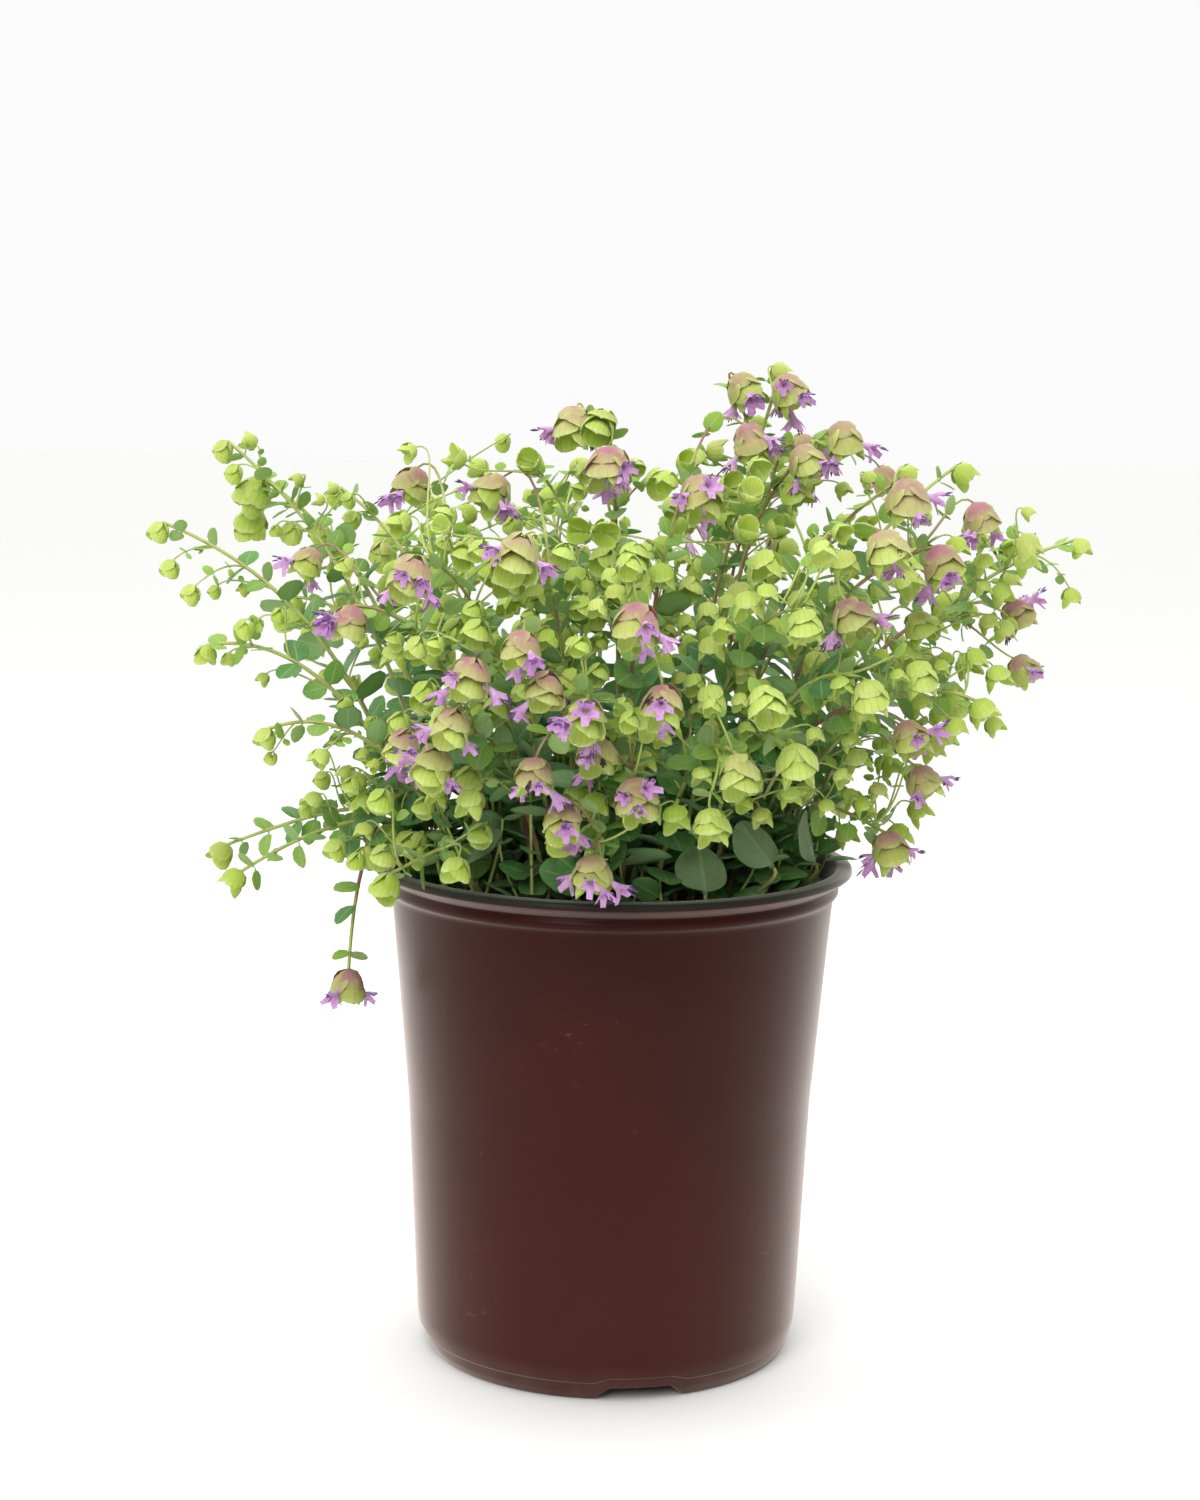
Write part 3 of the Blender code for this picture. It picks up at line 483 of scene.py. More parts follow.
def ripples(places, rng, waves, longest, shortest):
    """Uneven ground of about unit height: a sum of plane waves that run every way."""
    turns = rng.uniform(0, 2 * math.pi, waves)
    lengths = np.geomspace(longest, shortest, waves)
    phases = rng.uniform(0, 2 * math.pi, waves)
    ways = np.stack([np.cos(turns), np.sin(turns)]) / lengths
    return (np.sin(2 * math.pi * places[..., :2] @ ways + phases) * np.sqrt(lengths / longest)).sum(-1)


def soil_height(places, rng):
    """The bed's top: lower by the wall than in the middle, and crumbly."""
    out = np.linalg.norm(places[..., :2], axis=-1)
    level = SOIL_TOP - (SOIL_TOP - SOIL_EDGE) * (out / SOIL_RADIUS) ** 2
    return level + 0.28 * ripples(places, rng, 40, 30.0, 2.2)


def soil_surface():
    """A turned body that fills the pot, with the crumbly top laid over it."""
    profile = rounded(
        (
            (CAP_RADIUS, FLOOR_TOP + SOIL_GAP, 0),
            (HEEL_RADIUS - WALL - 2.8, FLOOR_TOP + SOIL_GAP, 2.5),
            (WAIST_RADIUS - WALL - 0.6, 88.0, 1.0),
            (SOIL_RADIUS + 0.4, SOIL_EDGE - 1.5, 0.7),
            (SOIL_RADIUS - 0.8, SOIL_EDGE, 0.5),
            (1.2, SOIL_TOP, 0),
        )
    )
    low = subdivided(profile[profile[:, 1] < SOIL_EDGE - 3], 20.0)
    top = subdivided(profile[profile[:, 1] >= SOIL_EDGE - 3], 1.1)
    points = turned_points(np.vstack([low, top]), SOIL_SIDES)
    height = soil_height(points, np.random.default_rng(21))
    fade = np.clip((points[..., 2] - SOIL_EDGE + 1.5) / 1.5, 0, 1)
    points[..., 2] += fade * (height - points[..., 2])
    return points.reshape(-1, 3), ring_faces(len(low) + len(top), SOIL_SIDES)


def repeated(faces, count, points_each):
    """One shape's faces for each of a number of copies, whose points follow each other."""
    return (faces[None] + points_each * np.arange(count)[:, None, None]).reshape(-1, 4)


def bits(count, sizes, flatness, rng):
    """Small broken lumps: cubes with every corner pushed about, each turned its own way."""
    corner = np.array([(x, y, z) for z in (-1, 1) for y in (-1, 1) for x in (-1, 1)], float) * 0.5
    shapes = corner + rng.uniform(-0.22, 0.22, (count, 8, 3))
    shapes = shapes * rng.uniform(*sizes, (count, 1, 1)) * (1, 0.66, flatness)
    turns = rng.uniform(0, 2 * math.pi, count)
    tilts = rng.normal(0, 0.45, count)
    spin = np.zeros((count, 3, 3))
    spin[:, 0, 0], spin[:, 0, 1] = np.cos(turns), -np.sin(turns)
    spin[:, 1, 0], spin[:, 1, 1] = np.sin(turns), np.cos(turns)
    spin[:, 2, 2] = 1
    lean = np.zeros((count, 3, 3))
    lean[:, 0, 0] = 1
    lean[:, 1, 1], lean[:, 1, 2] = np.cos(tilts), -np.sin(tilts)
    lean[:, 2, 1], lean[:, 2, 2] = np.sin(tilts), np.cos(tilts)
    shapes = np.einsum("nij,njk,nck->nci", spin, lean, shapes)
    out = (SOIL_RADIUS - 4) * np.sqrt(rng.uniform(0, 1, count))
    around = rng.uniform(0, 2 * math.pi, count)
    middle = np.stack([out * np.cos(around), out * np.sin(around), np.zeros(count)], axis=-1)
    middle[:, 2] = soil_height(middle, np.random.default_rng(21)) + 0.25
    faces = np.array(((0, 2, 3, 1), (4, 5, 7, 6), (0, 1, 5, 4), (2, 6, 7, 3), (0, 4, 6, 2), (1, 3, 7, 5)))
    tone = np.repeat(rng.uniform(0, 1, count), 8)
    return (shapes + middle[:, None]).reshape(-1, 3), repeated(faces, count, 8), tone


def moist_bark(name, dark, pale):
    """Bark and peat, damp and open: no gloss, fibres a fraction of a millimetre wide, pale bits."""
    material, tree, shader = new_material(name, Roughness=0.92)
    place, tone = read_values(tree, "tone")
    grain = noise(tree, place, 1.2, 6, 0.7)
    share = ramp(tree, calc(tree, "MULTIPLY", grain, tone), (0.12, 0.5))
    paint(tree, shader, blend(tree, share, dark, pale))
    emboss(tree, shader, grain, 0.8, 0.4)
    return material


soil_points, soil_faces = soil_surface()
soil_tone = {"tone": np.full(len(soil_points), 0.5)}
damp_peat = moist_bark("damp_peat", *PEAT)
soil = new_piece("growing_medium", soil_points, soil_faces, [damp_peat], soil_tone)
crumb_points, crumb_faces, crumb_tone = bits(CRUMBS, (0.9, 3.0), 0.6, np.random.default_rng(22))
flake_points, flake_faces, flake_tone = bits(FLAKES, (3.5, 8.0), 0.22, np.random.default_rng(23))
bark = new_piece(
    "bark_crumbs",
    np.vstack([crumb_points, flake_points]),
    np.vstack([crumb_faces, flake_faces + len(crumb_points)]),
    [moist_bark("composted_bark", *BARK)],
    {"tone": np.append(crumb_tone, flake_tone)},
)
bark.data.shade_flat()
for piece in (soil, bark):
    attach(piece, "root")
    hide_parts("soil")

# How the plant grew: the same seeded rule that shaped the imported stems, repeated here so that every stem,
# head, leaf and flower comes out where its plain solid is. It works on paths and balls in millimetres,
# and each new shoot, head or leaf is kept only where it stands clear of all that grew before it.
SEED = 7
STEM_RADIUS = 0.95
SHOOT_RADIUS = 0.6
STALK_RADIUS = 0.8
STEM_STEPS = 6
SHOOT_STEPS = 2
STALK_STEPS = 3
LEAVES_A_STEM = 2
LEAF_NODES = 8
LEAF_LEAN = 0.45
HEAD_WIDTH = 0.86
HEAD_MIDDLE = 0.45
BASAL_LEAF = 19.0
STEM_GAP = 1.8
SHOOT_GAP = 1.2
HEAD_GAP = 0.9
LEAF_GAP = 0.6

# Each row is a stem that shows from the front: how it grows, what its heads are, the length of its
# end head, and where its heads sit, the one at the stem's own end first.
FRONT_STEMS = (
    ("erect", "bloom", 14, ((56, -12, 331), (41, -13, 332))),
    ("arch", "bloom", 14, ((74, -24, 316), (61, -34, 309))),
    ("arch", "bloom", 16, ((92, -55, 298), (83, -88, 284), (74, -78, 262))),
    ("arch", "bloom", 15, ((105, -50, 277), (120, -22, 290))),
    ("arch", "bloom", 16, ((-3, -68, 307), (-15, -29, 319))),
    ("arch", "bloom", 15, ((25, -94, 300), (43, -29, 315))),
    ("arch", "bloom", 16, ((-30, -111, 282), (-42, -23, 297))),
    ("arch", "bloom", 15, ((-64, -85, 274), (-68, -32, 299))),
    ("arch", "bloom", 13, ((-85, -65, 257), (-101, -41, 274))),
    ("arch", "bloom", 15, ((6, -131, 264), (14, -127, 240))),
    ("arch", "bloom", 14, ((-44, -117, 246), (-28, -128, 256))),
    ("arch", "bloom", 14, ((-55, -106, 217), (-49, -117, 231), (-66, -83, 220))),
    ("arch", "bloom", 14, ((-9, -126, 235), (-21, -122, 243), (-24, -115, 216))),
    ("arch", "bloom", 15, ((7, -112, 209), (-5, -106, 222))),
    ("arch", "bloom", 14, ((-6, -99, 183), (-15, -107, 201))),
    ("arch", "bloom", 14, ((95, -61, 222), (102, -40, 205))),
    ("trail", "bloom", 14, ((92, -32, 181),)),
    ("hang", "bloom", 13, ((-89, -24, 130),)),
    ("arch", "bloom", 13, ((140, 25, 255), (141, 14, 237))),
    ("arch", "green", 8, ((-138, 30, 308), (-130, 34, 311), (-134, 26, 300))),
    ("arch", "green", 8, ((-156, 0, 281), (-151, -8, 269), (-143, -14, 261))),
    ("arch", "green", 8, ((-136, -28, 242), (-122, -36, 252))),
    ("arch", "green", 8, ((-115, -38, 216), (-96, -48, 211))),
    ("trail", "green", 10, ((-137, 12, 168),)),
    ("trail", "green", 10, ((-128, -22, 165),)),
    ("arch", "green", 8, ((-101, 50, 292), (-94, 40, 284))),
    ("arch", "green", 9, ((-29, -33, 308), (-46, 24, 296))),
    ("arch", "green", 10, ((121, 35, 303), (103, 52, 302))),
    ("arch", "green", 8, ((157, 0, 280), (153, -8, 264))),
    ("arch", "green", 11, ((121, -38, 228), (127, -26, 238))),
    ("trail", "green", 11, ((-73, -66, 172), (-49, -89, 182))),
    ("arch", "green", 14, ((38, -112, 217), (30, -106, 200))),
    ("arch", "green", 14, ((56, -99, 219), (45, -122, 240))),
    ("arch", "green", 13, ((79, -86, 238), (97, -62, 242), (99, -38, 256))),
    ("arch", "green", 12, ((57, -108, 262), (45, -101, 280))),
)

# The stems behind, and the plant's outline: a bowl that opens upwards, with half its width at each height.
BACK_STEMS = 14
BACK_LOWEST = 190.0
BACK_RISE = 125.0
OUTLINE_HEIGHTS = (165, 200, 235, 270, 300, 320)
OUTLINE_WIDTHS = (95, 118, 142, 152, 138, 70)
OUTLINE_DEPTH = 0.92

# Round leaves low down by the rim: the middle of each blade.
BASAL_LEAVES = (
    (64, -28, 184),
    (47, -52, 186),
    (30, -60, 178),
    (-44, -54, 184),
    (-66, 22, 184),
    (20, 66, 184),
)


def bezier(corners, at):
    """Points of a cubic curve through its first and last corner, bent towards the two between."""
    at = np.atleast_1d(at)[:, None]
    first, second, third, last = corners
    rest = 1 - at
    return rest**3 * first + 3 * at * rest**2 * second + 3 * at**2 * rest * third + at**3 * last


def tangent_at(corners, at):
    """Direction of travel along a cubic curve."""
    ahead = min(1.0, at + 0.02)
    behind = ahead - 0.02
    return unit(bezier(corners, ahead)[0] - bezier(corners, behind)[0])


def balls_along(points, radius, step):
    """Balls spaced evenly along a path, which stand for a tube when its room is tested."""
    legs = np.linalg.norm(np.diff(points, axis=0), axis=1)
    run = np.append(0, np.cumsum(legs))
    at = np.linspace(0, run[-1], max(2, int(run[-1] / step) + 1))
    centres = np.stack([np.interp(at, run, points[:, k]) for k in range(3)], axis=1)
    return centres, np.full(len(centres), radius)


def straight_line(corners, steps, head):
    """The curve's points that its tube is drawn through, the last one sunk into its head."""
    points = bezier(corners, np.linspace(0, 1, steps + 1))
    points[-1] = head["top"] + 0.2 * head["size"] * head["axis"]
    return points


def on_stem(stem, at):
    """The point of a stem's own tube at a share of its curve."""
    steps = np.linspace(0, 1, STEM_STEPS + 1)
    return np.array([np.interp(at, steps, stem["line"][:, k]) for k in range(3)])


def tube_balls(corners, line, radius, step):
    """Balls along a curve and along the straight line of points that it is drawn in."""
    smooth = balls_along(bezier(corners, np.linspace(0, 1, 41)), radius, step)
    straight = balls_along(line, radius, step)
    return np.vstack([smooth[0], straight[0]]), np.append(smooth[1], straight[1])


def head_balls(top, axis, length):
    """Two balls that stand for a head."""
    centres = top + np.outer((0.34 * length, 0.68 * length), axis)
    return centres, np.full(2, 0.5 * HEAD_WIDTH * length)


def leaf_balls(root, along, across, length):
    """Three balls along a leaf's rib and one on each side."""
    rib = root + np.outer((0.35 * length, 0.6 * length, 0.85 * length), along)
    sides = root + 0.55 * length * along + np.outer((-0.26 * length, 0.26 * length), across)
    return np.vstack([rib, sides]), np.full(5, 0.14 * length + 0.5)


def above_soil(balls):
    """The balls that stand clear of the soil, out of those of a stem that grows from it."""
    above = balls[0][:, 2] > SOIL_TOP + 2.5
    return balls[0][above], balls[1][above]


class Crowd:
    """Balls that cover all that has grown so far, each with the number of its stem."""

    def __init__(self):
        self.centres = np.empty((0, 3))
        self.radii = np.empty(0)
        self.owners = np.empty(0, int)

    def add(self, balls, owner):
        centres, radii = balls
        self.centres = np.vstack([self.centres, centres])
        self.radii = np.append(self.radii, radii)
        self.owners = np.append(self.owners, np.full(len(centres), owner))

    def apart(self, balls, owner, gap):
        """Whether balls stand clear of every other stem's by a gap."""
        centres, radii = balls
        if not len(self.radii):
            return True
        reach = radii.max() + self.radii.max() + abs(gap)
        inside = (self.centres > centres.min(axis=0) - reach) & (self.centres < centres.max(axis=0) + reach)
        near = inside.all(axis=1) & (self.owners != owner)
        away = np.linalg.norm(centres[:, None] - self.centres[None, near], axis=2)
        return not (away < radii[:, None] + self.radii[None, near] + gap).any()

    def free(self, balls, owner, gap):
        """Whether balls stand clear of the other stems, the pot's rim and the soil."""
        centres, radii = balls
        out = np.hypot(centres[:, 0], centres[:, 1])
        lowest = centres[:, 2] - radii
        below_rim = lowest < RIM_TOP + gap
        within = out + radii < RIM_INNER - 2.0
        outside = out - radii > RIM_RADIUS + gap
        if (below_rim & ~within & ~outside).any():
            return False
        if ((out < RIM_INNER) & (lowest < SOIL_TOP + 1.2)).any():
            return False
        return self.apart(balls, owner, gap)


def head_axis(place, rng, kind):
    """Which way a head hangs from its shoot: outwards and down, though high green ones look up."""
    outwards = unit(place * (1, 1, 0) + rng.normal(0, 12, 3) * (1, 1, 0))
    down = rng.uniform(0.35, 1.1)
    if kind == "green" and place[2] > 285:
        down = rng.uniform(-0.5, 0.5)
    return unit(outwards * rng.uniform(0.5, 1.0) - (0, 0, down))


def stem_corners(habit, tip, rng, looseness):
    """Corners of a stem's curve, from the soil up, out over the rim and on to its end."""
    outwards = unit(tip * (1, 1, 0))
    up = np.array((0, 0, 1.0))
    spread = min(0.36 * np.hypot(tip[0], tip[1]) + 3, 55)
    root = outwards * spread + rng.normal(0, 2 + looseness, 3) * (1, 1, 0)
    root[2] = SOIL_TOP + 1.0
    length = np.linalg.norm(tip - root)
    if habit == "erect":
        rise = root + up * 0.5 * (tip[2] - root[2]) + outwards * 4
        near = tip - unit(outwards * 0.3 + up) * 0.35 * length
    elif habit == "trail":
        rise = root + up * 45 + outwards * 8
        near = tip - outwards * 42 + up * 17
    elif habit == "hang":
        rise = root + up * 75 + outwards * 30
        near = tip + up * 68 - outwards * 2
    else:
        lift = np.interp(tip[2], (180, 230, 270, 310), (-0.9, -0.35, 0.15, 0.75))
        rise = root + up * max(0.5 * (tip[2] - root[2]), 38) + outwards * 0.12 * length
        near = tip - unit(outwards + up * lift) * 0.36 * length
    shake = rng.normal(0, 1, (2, 3)) * (3 + 2.2 * looseness)
    return np.array((root, rise + shake[0] * (1, 1, 0.3), near + shake[1], tip))


def grow_stem(number, row, crowd, rng):
    """One stem's curve and end head, bent and moved until both clear the stems before it."""
    habit, kind, size, places = row
    for attempt in range(300):
        middle = np.array(places[0], float) + rng.normal(0, 0.4 * (attempt // 60), 3)
        axis = head_axis(middle, rng, kind)
        if habit == "hang":
            axis = unit(np.array((-0.1, -0.1, -1.0)))
        top = middle - HEAD_MIDDLE * size * axis
        corners = stem_corners(habit, top, rng, attempt / 60)
        end_head = {"at": 1.0, "top": top, "axis": axis, "size": size, "kind": kind}
        line = straight_line(corners, STEM_STEPS, end_head)
        balls = tube_balls(corners, line, STEM_RADIUS, 3.0)
        head = head_balls(top, axis, size)
        clear_of_pot = crowd.free(above_soil(balls), number, 0.2)
        if clear_of_pot and crowd.apart(balls, number, STEM_GAP) and crowd.free(head, number, HEAD_GAP):
            break
    crowd.add(balls, number)
    crowd.add(head, number)
    grown = {"heads": [end_head], "leaves": [], "flowers": []}
    return {"kind": kind, "corners": corners, "line": line, **grown}


def shoot_corners(start, lean, top, axis):
    """Corners of a shoot's curve, which sets off one way and comes to its head along its axis."""
    gap = np.linalg.norm(top - start)
    return np.array((start, start + lean * 0.4 * gap, top - axis * 0.28 * gap, top))


def try_shoot(stem, number, crowd, at, lean, top, axis, size, kind):
    """Adds a side shoot with its head, if there is room for both."""
    corners = shoot_corners(on_stem(stem, at), lean, top, axis)
    head = {"at": at, "corners": corners, "top": top, "axis": axis, "size": size, "kind": kind}
    head["line"] = straight_line(corners, SHOOT_STEPS, head)
    shoot_room = tube_balls(corners, head["line"], SHOOT_RADIUS, 2.0)
    head_room = head_balls(top, axis, size)
    if not crowd.free(shoot_room, number, SHOOT_GAP) or not crowd.free(head_room, number, HEAD_GAP):
        return False
    middle = top + 0.5 * size * axis
    for other in stem["heads"]:
        away = np.linalg.norm(other["top"] + 0.5 * other["size"] * other["axis"] - middle)
        if away < 0.42 * (other["size"] + size):
            return False
    crowd.add(shoot_room, number)
    crowd.add(head_room, number)
    stem["heads"].append(head)
    return True


def add_placed_head(stem, number, crowd, rng, place):
    """A further head of the stem at its own place, on a shoot from the stem's nearest stretch."""
    stretch = np.linspace(0.45, 0.93, 25)
    away = np.linalg.norm(bezier(stem["corners"], stretch) - place, axis=1)
    nearest = int(away.argmin())
    size = 0.92 * stem["heads"][0]["size"]
    for attempt in range(80):
        at = stretch[max(0, nearest - int(rng.integers(1, 9)))]
        axis = head_axis(place, rng, stem["kind"])
        top = place + rng.normal(0, 0.3 * (attempt // 8), 3) - HEAD_MIDDLE * size * axis
        towards = unit(top - on_stem(stem, at))
        lean = unit(tangent_at(stem["corners"], at) + towards + rng.normal(0, 0.2, 3))
        if try_shoot(stem, number, crowd, at, lean, top, axis, size, stem["kind"]):
            return


def within_plant(place, size):
    """Whether a head at a place lies inside the plant's outline and above the rim."""
    wide = np.interp(place[2], OUTLINE_HEIGHTS, OUTLINE_WIDTHS) - 0.5 * size
    return place[2] > 176 and np.hypot(place[0] / wide, place[1] / (OUTLINE_DEPTH * wide)) < 1


def back_stems():
    """Rows for the stems behind, spread by the golden section over half a turn and over height."""
    golden = 0.5 * (math.sqrt(5) - 1)
    rows = []
    for index in range(BACK_STEMS):
        turn = math.radians(14 + 152 * ((0.18 + index * golden) % 1))
        height = BACK_LOWEST + BACK_RISE * (index + 0.5) / BACK_STEMS
        size = (11, 14, 9, 12, 13)[index % 5]
        kind = "bloom" if index % 3 == 1 else "green"
        heads = []
        for sideways, down in ((0.0, 0.0), (9.0, 11.0)):
            wide = np.interp(height - down, OUTLINE_HEIGHTS, OUTLINE_WIDTHS) - 0.5 * size
            along = wide * math.cos(turn) + sideways * math.sin(turn)
            back = OUTLINE_DEPTH * wide * math.sin(turn) - sideways * math.cos(turn)
            heads.append((along, back, height - down))
        rows.append(("arch", kind, size, tuple(heads)))
    return tuple(rows)


def any_side(onwards, rng):
    """A direction square to a stem, anywhere round it."""
    turn = rng.uniform(0, 2 * math.pi)
    return unit(np.cross(onwards, (math.cos(turn), math.sin(turn), 0.2)))


def add_chance_head(stem, number, crowd, rng):
    """One more head, on a shoot that leaves the stem anywhere in its upper half."""
    for _ in range(60):
        at = rng.uniform(0.5, 0.9)
        onwards = tangent_at(stem["corners"], at)
        side = any_side(onwards, rng)
        size = rng.uniform(0.65, 0.95) * stem["heads"][0]["size"]
        away = unit(side + 0.7 * onwards + (0, 0, 0.25))
        place = on_stem(stem, at) + away * rng.uniform(14, 34)
        axis = head_axis(place, rng, "green")
        top = place - HEAD_MIDDLE * size * axis
        lean = unit(away + 0.5 * onwards)
        kind = "green" if rng.random() < 0.75 else stem["kind"]
        if within_plant(place, size):
            if try_shoot(stem, number, crowd, at, lean, top, axis, size, kind):
                return


def round_joint(onwards, turn):
    """The direction square to a stem at a joint that a turn about it gives."""
    first = unit(np.cross(onwards, (0.3, 0.2, 1.0)))
    return math.cos(turn) * first + math.sin(turn) * np.cross(onwards, first)


def blade_ways(out, onwards, lift, unevenness, rng):
    """A leaf's directions along its rib and across its blade, each a little uneven."""
    along = unit(out + LEAF_LEAN * onwards + (0, 0, rng.uniform(-0.2, lift)))
    across = unit(np.cross(along, (0, 0, 1)) + rng.normal(0, unevenness, 3))
    return along, unit(across - along * (across @ along))


def add_leaves(stem, number, crowd, rng):
    """Opposite leaves at a few of the stem's nodes, each pair turned a right angle from the last."""
    turn = rng.uniform(0, math.pi)
    nodes = np.linspace(0.34, 0.9, LEAF_NODES) + rng.uniform(-0.02, 0.02)
    for node in rng.permutation(LEAF_NODES):
        at = nodes[node]
        root = on_stem(stem, at)
        onwards = tangent_at(stem["corners"], at)
        pair = round_joint(onwards, turn + 0.5 * math.pi * node)
        length = np.interp(at, (0.3, 0.6, 1), (14, 13, 8)) * rng.uniform(0.85, 1.15)
        for sign in (1, -1):
            along, across = blade_ways(sign * pair, onwards, 0.25, 0.15, rng)
            balls = leaf_balls(root, along, across, length)
            if len(stem["leaves"]) < LEAVES_A_STEM and crowd.free(balls, number, LEAF_GAP):
                crowd.add(balls, number)
                leaf = {"at": at, "root": root, "along": along, "across": across}
                stem["leaves"].append({**leaf, "length": length})


def add_flowers(stem, number, crowd, rng):
    """Trumpet flowers that lean out from under the bracts of the heads in bloom."""
    for index, head in enumerate(stem["heads"]):
        wanted = 1 if head["kind"] == "bloom" and index in (0, 2) else 0
        side = unit(np.cross(head["axis"], (0.2, 0.3, 1)))
        other = np.cross(head["axis"], side)
        for _ in range(10):
            if wanted == 0:
                break
            turn = rng.uniform(0, 2 * math.pi)
            outwards = math.cos(turn) * side + math.sin(turn) * other
            start = head["top"] + head["axis"] * 0.45 * head["size"] + outwards * 0.2 * head["size"]
            along = unit(outwards + 0.55 * head["axis"] + (0, 0, 0.15))
            mouth = (start + along * np.array([[5.5], [8.0]]), np.array((1.8, 3.0)))
            if crowd.free(mouth, number, LEAF_GAP):
                crowd.add(mouth, number)
                stem["flowers"].append({"start": start, "along": along})
                wanted -= 1


def add_basal_leaf(number, middle, crowd, rng):
    """A round leaf on a short stalk that stands in the soil by the rim."""
    middle = np.array(middle, float)
    for attempt in range(200):
        outwards = unit(middle * (1, 1, 0))
        face = unit(outwards * rng.uniform(0.4, 1.0) + (0, 0, rng.uniform(0.3, 0.9)))
        across = unit(np.cross(face, (0, 0, 1)) + rng.normal(0, 0.2, 3))
        along = unit(np.cross(across, face))
        along = along if along[2] > 0 else -along
        shift = rng.normal(0, 0.6 + attempt / 40, 3)
        blade_root = middle + shift - 0.5 * BASAL_LEAF * along
        root = middle * (0.8, 0.8, 0) + rng.normal(0, 1 + attempt / 40, 3) * (1, 1, 0)
        root[2] = SOIL_TOP + 1.0
        rise = root + (0, 0, 0.5 * (blade_root[2] - root[2]))
        corners = np.array((root, rise, blade_root - 6 * along, blade_root))
        line = bezier(corners, np.linspace(0, 1, STALK_STEPS + 1))
        line[-1] = blade_root + 2.5 * along
        stalk = tube_balls(corners, line, STALK_RADIUS, 2.0)
        blade = leaf_balls(blade_root, along, across, BASAL_LEAF)
        if crowd.free(above_soil(stalk), number, LEAF_GAP):
            if crowd.apart(stalk, number, STEM_GAP) and crowd.free(blade, number, 0.8):
                crowd.add(stalk, number)
                crowd.add(blade, number)
                leaf = {"at": 1.0, "root": blade_root, "along": along, "across": across}
                return {"corners": corners, "line": line, "leaf": {**leaf, "length": BASAL_LEAF}}
    return None


def grow_plant():
    """All stems and basal leaves, each kept clear of the others."""
    rng = np.random.default_rng(SEED)
    crowd = Crowd()
    rows = FRONT_STEMS + back_stems()
    stems = [grow_stem(number, row, crowd, rng) for number, row in enumerate(rows)]
    basal = [
        add_basal_leaf(len(rows) + index, middle, crowd, rng)
        for index, middle in enumerate(BASAL_LEAVES)
    ]
    for number, stem in enumerate(stems):
        for place in rows[number][3][1:]:
            add_placed_head(stem, number, crowd, rng, np.array(place, float))
    for number, stem in enumerate(stems):
        if number >= len(FRONT_STEMS):
            add_chance_head(stem, number, crowd, rng)
    for grow in (add_leaves, add_flowers):
        for number, stem in enumerate(stems):
            grow(stem, number, crowd, rng)
    return stems, [stalk for stalk in basal if stalk], crowd


stems, basal_stalks, crowd = grow_plant()

# The finer growth: leaves at every joint of the stems, short shoots that end in small young heads, and
# low leafy shoots that crowd the mouth of the pot. It fills the room that is left, from a second stream
# of random numbers, and then each head sinks under its own weight.
YOUNG_SHOOTS = 150
YOUNG_SHOOT_RADIUS = 0.55
SMALL_HEADS_A_STEM = 6
JOINTS = 14
HANG = (0.25, 0.65)

# Where more light let more young heads grow: boxes by their two far corners, and how many to try in each.
BARE_REGIONS = (
    ((-70, -70, 248), (75, 60, 312), 70),
    ((92, -40, 212), (140, 40, 288), 26),
    ((80, -45, 180), (106, 20, 216), 10),
    ((-75, -98, 182), (78, -62, 236), 18),
    ((-80, -112, 225), (100, -45, 292), 44),
    ((-90, -66, 158), (-62, -26, 182), 9),
)


def settled(stem, at):
    """The point of a stem's smooth curve at a share of it."""
    return bezier(stem["corners"], at)[0]


def young_head(stem, number, at, place, size, rng):
    """Grows a head at a place, on a shoot from a point of the stem, and tells whether it had room."""
    if not within_plant(place, size):
        return False
    start = settled(stem, at)
    axis = head_axis(place, rng, "green")
    top = place - HEAD_MIDDLE * size * axis
    lean = unit(unit(place - start) + 0.5 * tangent_at(stem["corners"], at))
    corners = shoot_corners(start, lean, top, axis)
    shoot_room = balls_along(bezier(corners, np.linspace(0, 1, 21)), 0.5, 2.0)
    head_room = head_balls(top, axis, size)
    clear = crowd.free(head_room, number, 0.1) and crowd.free(shoot_room, number, 0.1)
    if not clear or not crowd.apart(head_room, -1 - number, -0.12 * size):
        return False
    crowd.add(shoot_room, number)
    crowd.add(head_room, number)
    shoot = {"at": at, "corners": corners, "top": top, "axis": axis}
    stem["small_heads"].append({**shoot, "size": size, "kind": "green"})
    return True


def add_small_head(stem, number, rng):
    """A young head near the stem's upper half, where there is room for it."""
    for _ in range(40):
        at = rng.uniform(0.42, 0.97)
        onwards = tangent_at(stem["corners"], at)
        side = any_side(onwards, rng)
        size = max(5.0, rng.uniform(0.42, 0.80) * stem["heads"][0]["size"])
        away = unit(side + 0.8 * onwards + (0, 0, 0.2))
        place = settled(stem, at) + away * rng.uniform(9, 25)
        if young_head(stem, number, at, place, size, rng):
            return


def fill_region(low, high, count, rng):
    """Young heads in a box, at random, each on a shoot from the nearest stem that isn't above it."""
    steps = np.linspace(0.35, 0.96, 16)
    paths = np.array([bezier(stem["corners"], steps) for stem in stems])
    for _ in range(count):
        for _ in range(12):
            place = rng.uniform(low, high)
            over = np.maximum(0, paths[..., 2] - place[2] + 5)
            away = np.linalg.norm(paths - place, axis=-1) + 2 * over
            number, step = np.unravel_index(away.argmin(), away.shape)
            if away[number, step] < 8:
                continue
            if young_head(stems[number], number, steps[step], place, rng.uniform(6, 10.5), rng):
                break


